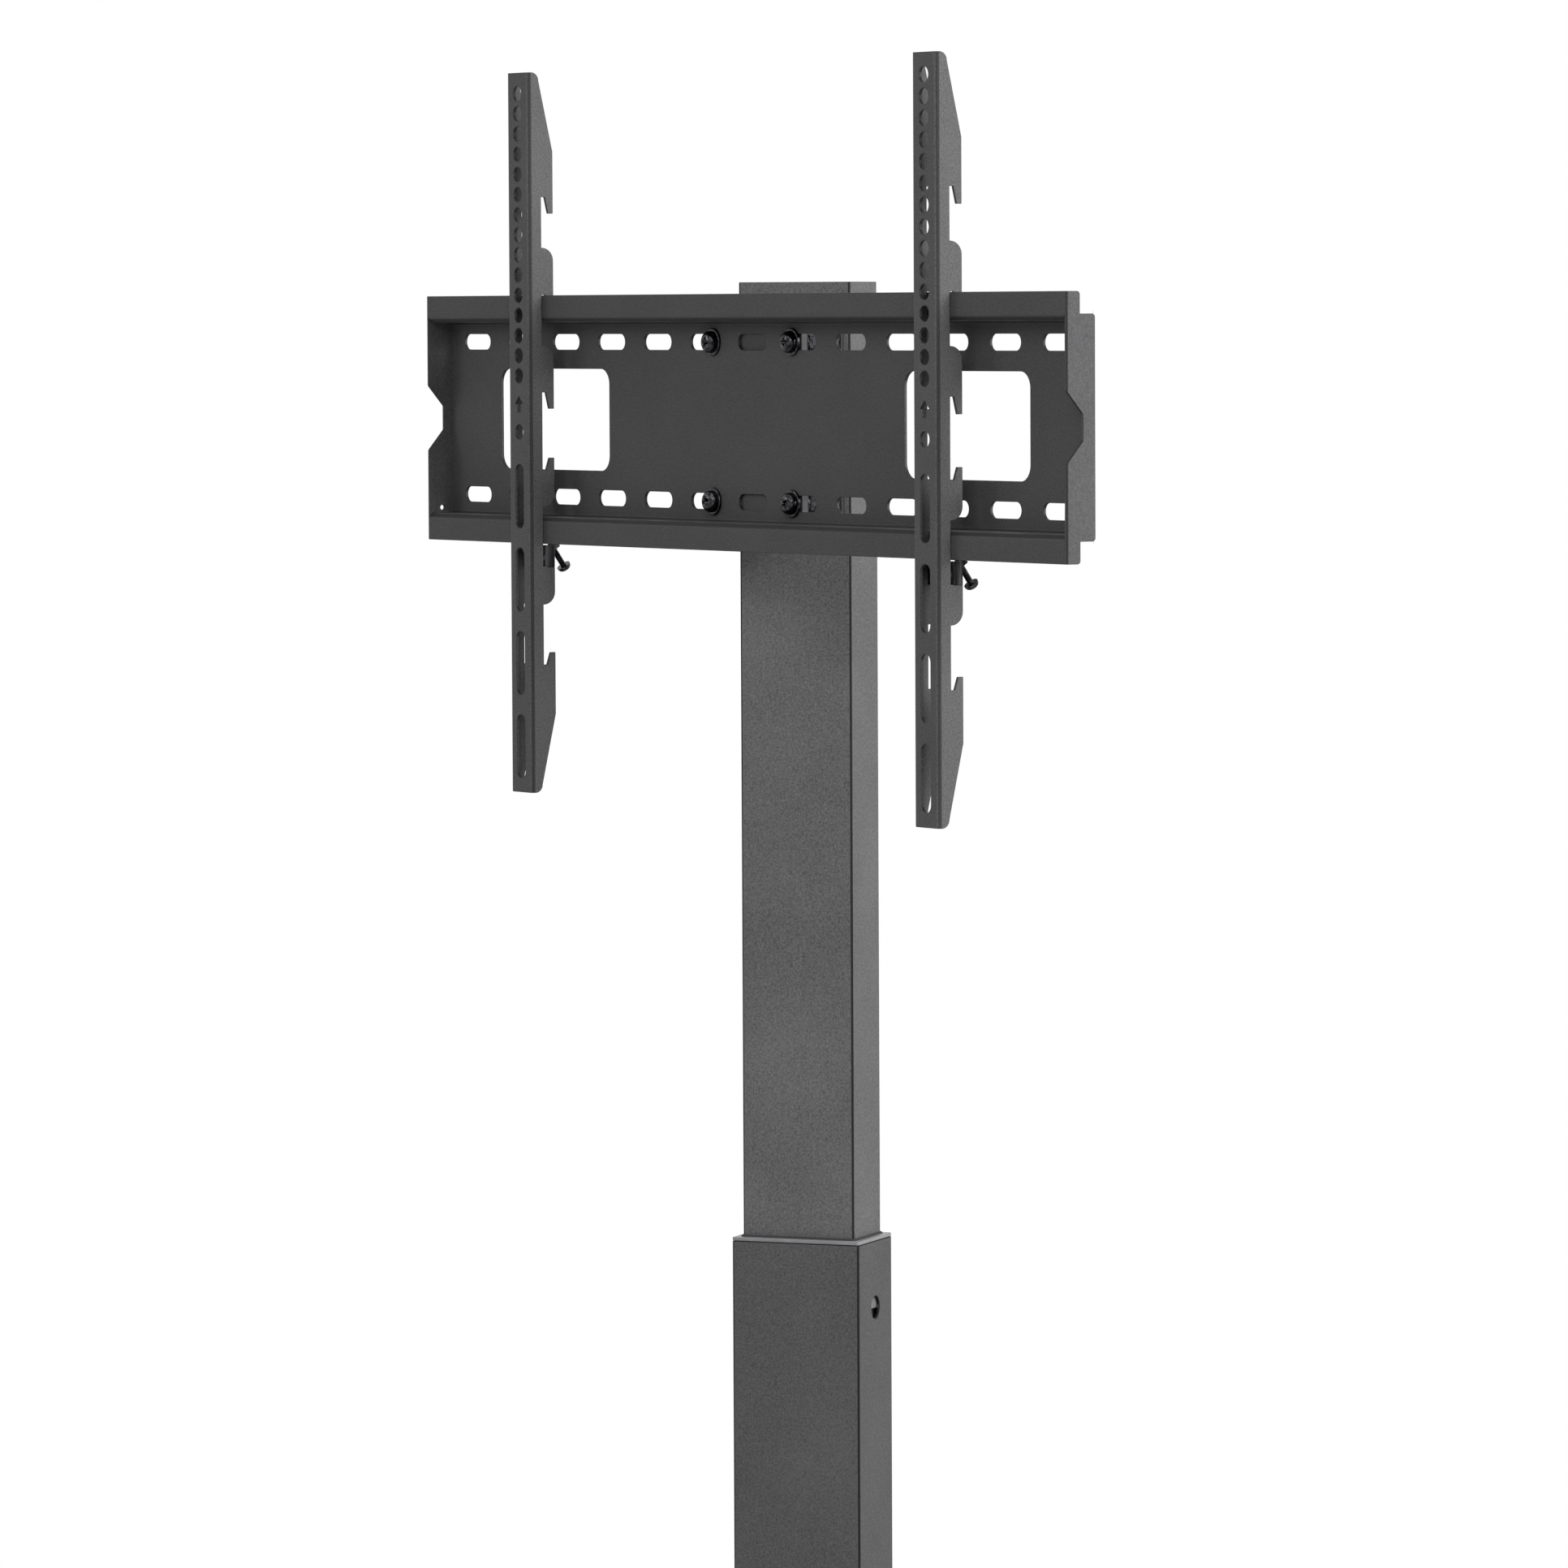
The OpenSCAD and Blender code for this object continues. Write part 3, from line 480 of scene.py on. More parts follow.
def linear(hex_colour: str) -> tuple[float, float, float, float]:
    """Turns an sRGB hex colour into the linear values that Blender shades with.

    Args:
        hex_colour: a number sign and six hex digits.

    Returns:
        Red, green, blue and an alpha of one.
    """
    channels = np.array([int(hex_colour[i : i + 2], 16) for i in (1, 3, 5)]) / 255
    straight = np.where(channels <= 0.04045, channels / 12.92, ((channels + 0.055) / 1.055) ** 2.4)
    return (*straight.tolist(), 1.0)


def add_node(tree: Tree, kind: str, inputs: dict | None = None, **settings: object) -> bpy.types.Node:
    """Adds one shader node with its settings, values and links.

    Args:
        tree: the node tree.
        kind: the node's type.
        inputs: for an input's name or number, a value or the output socket that feeds it.
        settings: the node's own properties.

    Returns:
        The new node.
    """
    node = tree.nodes.new(kind)
    for name, value in settings.items():
        setattr(node, name, value)
    for socket, value in (inputs or {}).items():
        if isinstance(value, Socket):
            tree.links.new(value, node.inputs[socket])
        else:
            node.inputs[socket].default_value = value
    return node


def noise(tree: Tree, position: Socket, size: float, detail: float, **more: float) -> Socket:
    """Returns the strength of a noise whose lumps are about the given size in millimetres."""
    inputs = {"Vector": position, "Scale": 1 / (size * MM), "Detail": detail, **more}
    return add_node(tree, "ShaderNodeTexNoise", inputs).outputs["Fac"]


def cells(tree: Tree, position: Socket, size: float) -> Socket:
    """Returns the distance to the middle of rounded cells, whose size is in millimetres."""
    inputs = {"Vector": position, "Scale": 1 / (size * MM)}
    return add_node(tree, "ShaderNodeTexVoronoi", inputs, feature="SMOOTH_F1").outputs["Distance"]


def ranged(
    tree: Tree,
    value: Socket,
    source: tuple[float, float],
    target: tuple[float, float] = (0.0, 1.0),
    curve: str = "LINEAR",
) -> Socket:
    """Carries a value from one range into another, and holds it at the ends.

    Args:
        tree: the node tree.
        value: the value.
        source: the two values that become the target's ends.
        target: the two ends.
        curve: the interpolation between them.

    Returns:
        The socket of the new value.
    """
    inputs = {"Value": value, "From Min": source[0], "From Max": source[1]}
    inputs |= {"To Min": target[0], "To Max": target[1]}
    return add_node(tree, "ShaderNodeMapRange", inputs, interpolation_type=curve).outputs[0]


def mixed(tree: Tree, share: Socket, first: str | Socket, second: str) -> Socket:
    """Returns the mix of two colours, given in hex or as a socket, by the second one's share."""
    start = linear(first) if isinstance(first, str) else first
    inputs = {0: share, 6: start, 7: linear(second)}
    return add_node(tree, "ShaderNodeMix", inputs, data_type="RGBA").outputs[2]


def bumped(tree: Tree, height: Socket, distance: float, strength: float) -> Socket:
    """Returns the surface's direction under a bump, whose distance is in millimetres."""
    inputs = {"Height": height, "Distance": distance * MM, "Strength": strength}
    return add_node(tree, "ShaderNodeBump", inputs).outputs["Normal"]


def larger(tree: Tree, first: Socket, second: Socket) -> Socket:
    """Returns the larger of two values."""
    return add_node(tree, "ShaderNodeMath", {0: first, 1: second}, operation="MAXIMUM").outputs[0]


def turned_sizes(tree: Tree, vector: Socket, degrees: float) -> Socket:
    """Returns how large a vector is along each axis, regardless of sign, after a turn about Z."""
    inputs = {"Vector": vector, "Angle": math.radians(degrees)}
    turned = add_node(tree, "ShaderNodeVectorRotate", inputs, rotation_type="Z_AXIS").outputs[0]
    return add_node(tree, "ShaderNodeVectorMath", {0: turned}, operation="ABSOLUTE").outputs[0]


@dataclass(frozen=True)
class Finish:
    """What every finish has: a name, an sRGB colour, and the shader's uniform numbers."""

    name: str
    colour: str
    roughness: float
    metallic: float = 0.0
    ior: float = 1.5
    specular: float = 0.5

    def build(self) -> bpy.types.Material:
        """Makes the material: a principled shader, textured by the finish's own method on Object coordinates.

        Returns:
            The material.
        """
        material = bpy.data.materials.new(self.name)
        material.use_nodes = True
        material.diffuse_color = linear(self.colour)
        tree = material.node_tree
        tree.nodes.clear()
        position = add_node(tree, "ShaderNodeTexCoord").outputs["Object"]
        uniform = {
            "Base Color": linear(self.colour),
            "Metallic": self.metallic,
            "Roughness": self.roughness,
            "IOR": self.ior,
            "Specular IOR Level": self.specular,
        }
        textured = self.texture(tree, position)
        shader = add_node(tree, "ShaderNodeBsdfPrincipled", {**uniform, **textured})
        add_node(tree, "ShaderNodeOutputMaterial", {"Surface": shader.outputs["BSDF"]})
        return material

    def texture(self, tree: Tree, position: Socket) -> dict[str, Socket]:
        """Adds the finish's pattern, which each kind of finish has for itself.

        Args:
            tree: the node tree.
            position: the Object coordinates.

        Returns:
            For each textured input of the shader, the socket that feeds it.
        """
        raise NotImplementedError

    def gloss(self, tree: Tree, pattern: Socket, below: float, above: float) -> Socket:
        """Returns the roughness, which a noise moves from so far below its own value to so far above."""
        return ranged(tree, pattern, NOISE_SPAN, (self.roughness - below, self.roughness + above))


@dataclass(frozen=True)
class PowderCoat(Finish):
    """Polyester powder, sprayed on steel and baked: a dull skin with a cured grain and soft clouding, and
    painted shade along its tight bends where a share is given.
    """

    grain: float = 0.8  # cured powder's lumps are about 0.3 mm, drawn coarser so that they show
    grain_height: float = 0.035
    cloud: float = 70.0
    light: str = "#5a5a5c"
    dark: str = "#434344"
    bend: str = "#262627"  # painted shade: the dark colour drawn along tight bends
    bend_shade_share: float = 0.0
    bend_shade_range: tuple[float, float] = (0.985, 0.87)
    turn: float = 0.0  # degrees from the frame's axes to the piece's own
    lean: float = 0.0  # degrees that the painted shade line lies off the bend's middle

    def bend_shade_mask(self, tree: Tree) -> Socket:
        """Finds where the painted shade goes: the tight bends, where the surface faces along none of the
        piece's three axes.

        The lean moves the mask's middle towards the face that looks along the piece's first axis.

        Args:
            tree: the node tree.

        Returns:
            A socket that is zero on flat faces and the painted shade's full share in the middle of a square
            bend.
        """
        facing = add_node(tree, "ShaderNodeTexCoord").outputs["Normal"]
        sizes = turned_sizes(tree, facing, -self.turn)
        if self.lean:
            sizes = turned_sizes(tree, sizes, self.lean)
        axes = add_node(tree, "ShaderNodeSeparateXYZ", {0: sizes}).outputs
        along = larger(tree, larger(tree, axes[0], axes[1]), axes[2])
        return ranged(tree, along, self.bend_shade_range, (0.0, self.bend_shade_share), "SMOOTHSTEP")

    def texture(self, tree: Tree, position: Socket) -> dict[str, Socket]:
        """Adds the grain as a bump and a change of tone, slow clouds, and the painted shade along the bends.
        """
        grain = noise(tree, position, self.grain, 3.0, Roughness=0.6)
        cloud = noise(tree, position, self.cloud, 2.0)
        speckle = ranged(tree, grain, NOISE_SPAN, (0.1, 0.9))
        drift = ranged(tree, cloud, NOISE_SPAN, (-0.12, 0.12))
        tone = add_node(tree, "ShaderNodeMath", {0: speckle, 1: drift}, operation="ADD", use_clamp=True)
        colour = mixed(tree, tone.outputs[0], self.dark, self.light)
        # painted shade: the bends are mixed towards the dark bend colour
        if self.bend_shade_share:
            colour = mixed(tree, self.bend_shade_mask(tree), colour, self.bend)
        return {
            "Base Color": colour,
            "Roughness": self.gloss(tree, cloud, 0.03, 0.03),
            "Normal": bumped(tree, grain, self.grain_height, 0.8),
        }


@dataclass(frozen=True)
class PlatedSteel(Finish):
    """Steel plated, oiled or lacquered dark: a half-gloss skin with patchy sheen and small dents."""

    patch: float = 2.2
    dent: float = 0.5  # small parts knock against each other in the plating barrel
    dent_height: float = 0.02
    deep: str = "#1a1a1c"
    streak_stretch: float = 1.0  # how many times longer the patches are along Z; long patches draw painted highlight and shade streaks

    def texture(self, tree: Tree, position: Socket) -> dict[str, Socket]:
        """Adds the patches as a change of colour and gloss, and the dents as a bump."""
        inputs = {"Vector": position, "Scale": (1.0, 1.0, 1 / self.streak_stretch)}
        drawn = add_node(tree, "ShaderNodeMapping", inputs)
        patch = noise(tree, drawn.outputs[0], self.patch, 3.0)
        return {
            "Base Color": mixed(tree, ranged(tree, patch, (0.35, 0.65)), self.deep, self.colour),
            "Roughness": self.gloss(tree, patch, 0.06, 0.08),
            "Normal": bumped(tree, cells(tree, position, self.dent), self.dent_height, 0.5),
        }


@dataclass(frozen=True)
class TurnedSteel(Finish):
    """Bare steel, turned or rolled: bright, with tool rings across its axis and a film of oil."""

    ring: float = 7.0  # gives bands 2.2 mm apart, coarser than a tool's feed of 0.15 mm so that they show
    ring_height: float = 0.01
    film: float = 9.0
    deep: str = "#8d8e90"

    def texture(self, tree: Tree, position: Socket) -> dict[str, Socket]:
        """Adds the tool rings as bands along Z, and the oil film as slow changes of colour and gloss."""
        inputs = {"Vector": position, "Scale": 1 / (self.ring * MM), "Distortion": 0.6, "Detail": 1.0}
        rings = add_node(tree, "ShaderNodeTexWave", inputs, wave_type="BANDS", bands_direction="Z")
        film = noise(tree, position, self.film, 3.0)
        return {
            "Base Color": mixed(tree, film, self.deep, self.colour),
            "Roughness": self.gloss(tree, film, 0.05, 0.1),
            "Normal": bumped(tree, rings.outputs["Fac"], self.ring_height, 0.5),
        }


@dataclass(frozen=True)
class MouldedPolymer(Finish):
    """Injection-moulded plastic or rubber: an eroded mould's grain, and slow flow marks in its sheen."""

    grain: float = 0.7  # a fine eroded mould is about 0.1 mm, drawn coarser so that it shows
    grain_height: float = 0.02
    flow: float = 25.0
    pale: str = "#5a5a5c"

    def texture(self, tree: Tree, position: Socket) -> dict[str, Socket]:
        """Adds the mould's grain as a bump, and the flow marks as a change of tone and sheen."""
        flow = noise(tree, position, self.flow, 2.0, Distortion=0.8)
        return {
            "Base Color": mixed(tree, ranged(tree, flow, (0.3, 0.75)), self.colour, self.pale),
            "Roughness": self.gloss(tree, flow, 0.04, 0.06),
            "Normal": bumped(tree, cells(tree, position, self.grain), self.grain_height, 0.6),
        }


# Both drawn tubes: a coarse grain, and a near black painted shade line down each corner.
TUBE = {
    "roughness": 0.6,
    "specular": 0.1,
    "grain": 1.2,
    "bend": "#151516",
    "bend_shade_share": 0.95,
    "bend_shade_range": (0.999, 0.95),
    "turn": 34.5,
}


class Coat(Enum):
    """The stand's finishes, one material for each."""

    # Matt dark grey powder on the mount's bent sheets, with painted shade lines along the bends.
    HEAD = PowderCoat(
        "powder_coated_mount",
        "#505051",
        0.6,
        specular=0.1,
        grain=1.0,
        light="#5e5e5f",
        dark="#424243",
        bend_shade_share=0.8,
    )
    # The mount's powder, a little paler. The painted shade line lies beside the channel's flange.
    ARM = PowderCoat(
        "powder_coated_arms",
        "#585859",
        0.6,
        specular=0.1,
        grain=1.0,
        light="#6a6a6b",
        dark="#474748",
        bend_shade_share=0.75,
        bend_shade_range=(0.96, 0.86),
        lean=15.0,
    )
    # Dark grey with a coarse speckle.
    OUTER_TUBE = PowderCoat("powder_coated_outer_tube", "#525253", light="#646465", dark="#424243", **TUBE)
    # A little paler than the outer tube.
    INNER_TUBE = PowderCoat("powder_coated_inner_tube", "#5f5f60", light="#757576", dark="#4b4b4c", **TUBE)
    # A wide, evenly speckled floor plate.
    BASE = PowderCoat(
        "powder_coated_base", "#525253", 0.6, specular=0.1, grain=1.2, light="#626263", dark="#444445"
    )
    # Thicker powder that has run together over the beads, so it shines a little more.
    WELD = PowderCoat("powder_coated_weld", "#505051", 0.42, specular=0.35, grain=1.4, grain_height=0.02)
    # Black glossy screws and nuts, with sharp highlights on their rims.
    BLACK_ZINC = PlatedSteel("black_zinc_steel", "#454548", 0.16, metallic=1.0, dent_height=0.008)
    # Blackened steel with long dark and light streaks along Z: painted highlights and shade that stand for a
    # curled strip's shine.
    DIPPED = PlatedSteel(
        "oiled_spring_steel", "#48484a", 0.3, metallic=1.0, patch=3.0, deep="#0e0e0f", streak_stretch=12.0
    )
    # Bright grey metal on the parts that run or turn.
    BARE_STEEL = TurnedSteel("turned_steel", "#b9babb", 0.3, metallic=1.0)
    # Dull near black covers.
    DARK_ABS = MouldedPolymer("moulded_abs", "#2b2b2d", 0.48, pale="#343436")
    # The pale grey, half-gloss ring that marks the column's joint.
    COLLAR_ABS = MouldedPolymer("moulded_collar_abs", "#7a7a7c", 0.35, pale="#88888a")
    # Grey waxy sliding parts.
    NYLON = MouldedPolymer("grey_nylon", "#69696a", 0.5, ior=1.53, pale="#737374")
    # Dull black pads and wiper.
    RUBBER = MouldedPolymer("moulded_rubber", "#1c1c1c", 0.8, ior=1.52, grain=1.0, pale="#222222")
    # Black lacquer over a drawn steel can.
    MOTOR = PlatedSteel("lacquered_motor_can", "#232325", 0.3, patch=6.0, dent=1.0, deep="#1a1a1b")


class Slot(Enum):
    """The record's material slots."""

    HEAD = "head_paint"
    COLUMN = "column_paint"
    BLACK_STEEL = "black_steel"
    BARE_STEEL = "bare_steel"
    DARK_PLASTIC = "dark_plastic"
    MOTOR = "motor_black"
    RUBBER = "pad_rubber"
    NYLON = "glide_nylon"


MATERIALS: dict[Coat, bpy.types.Material] = {}


def dressed(piece: Piece, body: str, coat: Coat, slot: Slot, *nodes: str) -> Piece:
    """Gives a piece its finish and its body, and hides the nodes that it stands for.

    Args:
        piece: the piece.
        body: the CAD body that it rides on.
        coat: its finish.
        slot: the record's slot, not used.
        nodes: the CAD nodes that it replaces.

    Returns:
        The piece.
    """
    if coat not in MATERIALS:
        MATERIALS[coat] = coat.value.build()
    piece.data.materials.append(MATERIALS[coat])
    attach(piece, body)
    if nodes:
        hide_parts(*nodes)
    faces = len(piece.data.polygons)
    LOG.info("%s rides on %s, %d faces, finish %s", piece.name, body, faces, MATERIALS[coat].name)
    return piece


def copied(node: str, name: str, edge: float, body: str, coat: Coat, slot: Slot, segments: int = 2) -> None:
    """Makes a deburred copy of a node and dresses it in the node's place.

    Args:
        node: the node.
        name: the piece's name.
        edge: the edges' radius in millimetres.
        body: the CAD body that it rides on.
        coat: its finish.
        slot: the record's slot.
        segments: number of faces across an edge.
    """
    dressed(deburred_copy(node, name, edge, segments), body, coat, slot, node)


# Fasteners


class Drive(Enum):
    """How a screw is driven."""

    CROSS_RECESS = "cross recess"
    HEX_SOCKET = "hex socket"


@dataclass(frozen=True)
class Screw:
    """A screw about Z, with its head's seat at zero, its head above and its shank below."""

    drive: Drive
    shank_r: float
    length: float
    head_r: float
    head_h: float
    pitch: float
    columns: int = 72
    per_pitch: int = 6
    dome_rows: int = 44

    def head(self) -> np.ndarray:
        """The head's surface from its middle to its seat's inner edge, by the screw's drive.

        A cross recess is a carved dome. A hex socket is a turned head whose first rows are a hexagon.

        Returns:
            Points in rows and columns.
        """
        if self.drive is Drive.CROSS_RECESS:
            top = cross_recess_surface(self.head_r, self.head_h, self.dome_rows, self.columns)
            seat = turned_surface(round_rows([(self.shank_r, 0.0)]), self.columns)
            return np.concatenate([top, seat])
        apothem = self.head_r * 0.4
        floor = self.head_h * 0.45
        edge = self.head_h * 0.16
        middle = round_rows([(0, floor - 0.3), (apothem * 0.7, floor)])
        hexagon = [(NO_LIMIT, apothem, floor), (NO_LIMIT, apothem, self.head_h - 0.3)]
        mouth = [(apothem * 1.2, apothem * 1.09, self.head_h)]
        rim = rounded_edge(self.head_r, self.head_h, edge, True)
        rim += [(self.head_r, 0.2), (self.head_r - 0.2, 0.0), (self.shank_r, 0.0)]
        return turned_surface(np.concatenate([middle, hexagon, mouth, round_rows(rim)]), self.columns)

    def surface(self) -> np.ndarray:
        """Returns the head, the threaded shank and the chamfered tip as one closed surface."""
        depth = self.pitch * 0.54
        end = self.pitch / 2 - self.length
        shank = threaded_surface(self.shank_r, depth, self.pitch, 1, -0.02, end, self.columns, self.per_pitch)
        tip = round_rows([(self.shank_r - depth, -self.length), (0, -self.length)])
        return np.concatenate([self.head(), shank, turned_surface(tip, self.columns)])


@dataclass(frozen=True)
class HexNut:
    """A hexagon nut about Z that stands on zero, with both rims chamfered and a countersunk bore."""

    corner_r: float
    height: float
    bore_r: float
    columns: int = 72
    chamfer_rows: int = 6

    def surface(self) -> np.ndarray:
        """The rows go up the bore, out over the top face, down the sides and back under.

        The sides are the smaller of the hexagon and a cone that stands for the chamfer.

        Returns:
            Points in rows and columns, closed both ways.
        """
        apothem = self.corner_r * math.cos(math.pi / 6)
        rise = (self.corner_r - apothem) * 0.58
        face_r = apothem * 0.97
        bore = [(self.bore_r + 0.5, 0.0), (self.bore_r, 0.5), (self.bore_r, self.height - 0.5)]
        bore += [(self.bore_r + 0.5, self.height), (face_r, self.height)]
        share = np.linspace(0, 1, self.chamfer_rows)
        cone_r = face_r + (self.corner_r * 1.01 - face_r) * share
        cone = np.stack(np.broadcast_arrays(cone_r, apothem), axis=1)
        top = np.column_stack([cone, self.height - rise * share])
        bottom = np.column_stack([cone[::-1], rise * share[::-1]])
        return turned_surface(np.concatenate([round_rows(bore), top, bottom]), self.columns)


@dataclass(frozen=True)
class FlatWasher:
    """A stamped flat washer about Z that stands on zero, rounded on the side where the punch came in."""

    outer_r: float
    bore_r: float
    height: float
    burr: float = 0.12
    columns: int = 72

    def surface(self) -> np.ndarray:
        """Returns a closed ring: the bore, the rounded upper rim, and the square lower rim."""
        profile = [(self.bore_r, self.burr), (self.bore_r, self.height - 0.15)]
        profile += [(self.bore_r + 0.15, self.height)]
        profile += rounded_edge(self.outer_r, self.height, self.height * 0.38, True)
        profile += [(self.outer_r, self.burr), (self.outer_r - self.burr, 0.0)]
        profile += [(self.bore_r + self.burr, 0.0)]
        return turned_surface(round_rows(profile), self.columns)


# Sub-assemblies


@dataclass(frozen=True)
class Builder:
    """What each builder below knows: the shared places."""

    layout: Layout


@dataclass(frozen=True)
class Base(Builder):
    """The floor plate with its rubber pads, and the column's foot flange with its screws and weld."""

    plate_edge: float = 1.0
    flange_edge: float = 0.8
    pad_r: float = 20.0
    pad_h: float = 4.0
    pad_grooves: tuple[float, float] = (15.5, 9.5)
    pad_columns: int = 60
    screw: Screw = Screw(Drive.HEX_SOCKET, shank_r=3.9, length=16.0, head_r=6.6, head_h=4.4, pitch=1.25)
    screw_inset: float = 16.0
    flange_corner_r: float = 10.0
    tube_corner_r: float = 1.5
    weld_leg: float = 3.2
    ripple: float = 2.6
    weld_spacing: float = 0.65

    def pads(self) -> Piece:
        """Returns the turned pads with grooved soles, one under each corner and one under the column."""
        low, high = box_mm("floor_pads")
        middle = (low + high) / 2
        spread = self.layout.half_sizes("floor_pads", self.pad_r) - self.pad_r
        profile = [(0, self.pad_h)] + rounded_edge(self.pad_r, self.pad_h, 0.5, True)
        profile += rounded_edge(self.pad_r, 0.0, 1.0, False)
        for groove in self.pad_grooves:
            profile += [(groove + 1.2, 0.0), (groove + 0.7, 0.8), (groove - 0.7, 0.8), (groove - 1.2, 0.0)]
        pad = turned_surface(round_rows(profile + [(0, 0.0)]), self.pad_columns)
        shells = [self.layout.column.put(pad)]
        axes = Place(np.array([middle[0], middle[1], 0.0]), self.layout.column.axes)
        shells += [axes.shifted(x * spread[0], y * spread[1]).put(pad) for x, y in CORNERS]
        return mesh_piece("rubber_pads", shells)

    def screws(self) -> Piece:
        """Returns the four socket screws that hold the foot flange."""
        seat = box_mm("foot_flange")[1][2]
        surface = self.screw.surface()
        reach = self.layout.half_sizes("foot_flange", self.flange_corner_r) - self.screw_inset
        places = [self.layout.column.shifted(x * reach[0], y * reach[1], seat) for x, y in CORNERS]
        shells = [place.put(surface) for place in places]
        return mesh_piece("foot_socket_screws", shells)

    def weld(self) -> Piece:
        """Returns the fillet weld round the outer tube's foot."""
        width, depth = 2 * self.layout.half_sizes("outer_tube", self.tube_corner_r)
        line, outward = rounded_rectangle(width, depth, self.tube_corner_r, self.weld_spacing)
        line = line + [0, 0, box_mm("foot_flange")[1][2]]
        upward = np.broadcast_to([0.0, 0.0, 1.0], line.shape)
        bead = weld_surface(line, outward, upward, self.weld_leg, self.ripple, True)
        return mesh_piece("column_foot_weld", [self.layout.column.put(bead)], loops=True, crease=60)

    def build(self) -> None:
        """Makes the base's pieces and dresses them."""
        copied("floor_plate", "floor_plate_steel", self.plate_edge, "base", Coat.BASE, Slot.COLUMN, FINE)
        dressed(self.pads(), "base", Coat.RUBBER, Slot.RUBBER, "floor_pads")
        copied("foot_flange", "foot_flange_steel", self.flange_edge, "base", Coat.BASE, Slot.COLUMN, FINE)
        dressed(self.screws(), "base", Coat.BLACK_ZINC, Slot.BLACK_STEEL, "foot_screws")
        dressed(self.weld(), "base", Coat.WELD, Slot.COLUMN)


@dataclass(frozen=True)
class Column(Builder):
    """The outer and the inner tube, the collar with its glides, the cap, and the power inlet."""

    saw_edge: float = 0.35
    mould_edge: float = 0.4
    cap_edge: float = 0.8
    inlet_edge: float = 0.5
    corner_r: float = 1.5
    wiper_t: float = 1.3
    wiper_h: float = 1.2
    wiper_gap: float = 0.3
    wiper_spacing: float = 4.0
    pin_r: float = 0.9
    pin_gap: float = 7.0
    pin_len: float = 7.0
    pin_columns: int = 24

    def wiper(self) -> Piece:
        """Returns the collar's rubber wiper: a half-round section carried round the inner tube's outline.

        A point is the outline's point plus the section's first coordinate outwards and its second upwards.
        """
        width, depth = 2 * (self.layout.half_sizes("inner_tube", self.corner_r) + self.wiper_gap)
        radius = self.corner_r + self.wiper_gap
        line, outward = rounded_rectangle(width, depth, radius, self.wiper_spacing)
        line = line + [0, 0, box_mm("collar_ring")[1][2]]
        angle = np.linspace(0, np.pi / 2, 7)
        section = np.stack([self.wiper_t * np.sin(angle), self.wiper_h * np.cos(angle)], axis=1)
        section = np.concatenate([[[0.0, 0.0]], section])[None, :, :]
        ring = line[:, None, :] + section[..., :1] * outward[:, None, :]
        ring = ring + section[..., 1:] * np.array([0.0, 0.0, 1.0])
        return mesh_piece("column_wiper", [self.layout.column.put(ring)], loops=True)

    def inlet_pins(self) -> Piece:
        """Returns the two round contacts inside the power inlet."""
        low, high = box_mm("power_inlet")
        tube_back = self.layout.half_sizes("outer_tube", self.corner_r)[1]
        rows = [(0, 0)] + rounded_edge(self.pin_r, 0.0, 0.5, True)
        rows += [(self.pin_r, -self.pin_len), (0, -self.pin_len)]
        pin = turned_surface(round_rows(rows), self.pin_columns)
        socket = self.layout.column.shifted(y=tube_back + 0.5, z=(low + high)[2] / 2)
        shells = [socket.shifted(x=side * self.pin_gap / 2).facing((0, 1, 0)).put(pin) for side in (-1, 1)]
        return mesh_piece("inlet_contacts", shells)

    def build(self) -> None:
        """Makes the column's pieces and dresses them."""
        copied("outer_tube", "outer_tube_steel", self.saw_edge * 2, "base", Coat.OUTER_TUBE, Slot.COLUMN)
        copied("inner_tube", "inner_tube_steel", self.saw_edge, "carriage", Coat.INNER_TUBE, Slot.COLUMN)
        copied("collar_ring", "collar_moulding", self.mould_edge, "base", Coat.COLLAR_ABS, Slot.DARK_PLASTIC)
        dressed(self.wiper(), "base", Coat.RUBBER, Slot.RUBBER)
        copied("upper_glides", "upper_glide_liners", self.mould_edge, "base", Coat.NYLON, Slot.NYLON)
        copied("lower_glide", "lower_glide_sleeve", self.mould_edge, "carriage", Coat.NYLON, Slot.NYLON)
        copied(
            "tube_cap", "tube_cap_moulding", self.cap_edge, "carriage", Coat.DARK_ABS, Slot.DARK_PLASTIC, FINE
        )
        copied(
            "power_inlet",
            "power_inlet_moulding",
            self.inlet_edge,
            "base",
            Coat.DARK_ABS,
            Slot.DARK_PLASTIC,
            FINE,
        )
        dressed(self.inlet_pins(), "base", Coat.BARE_STEEL, Slot.BARE_STEEL)


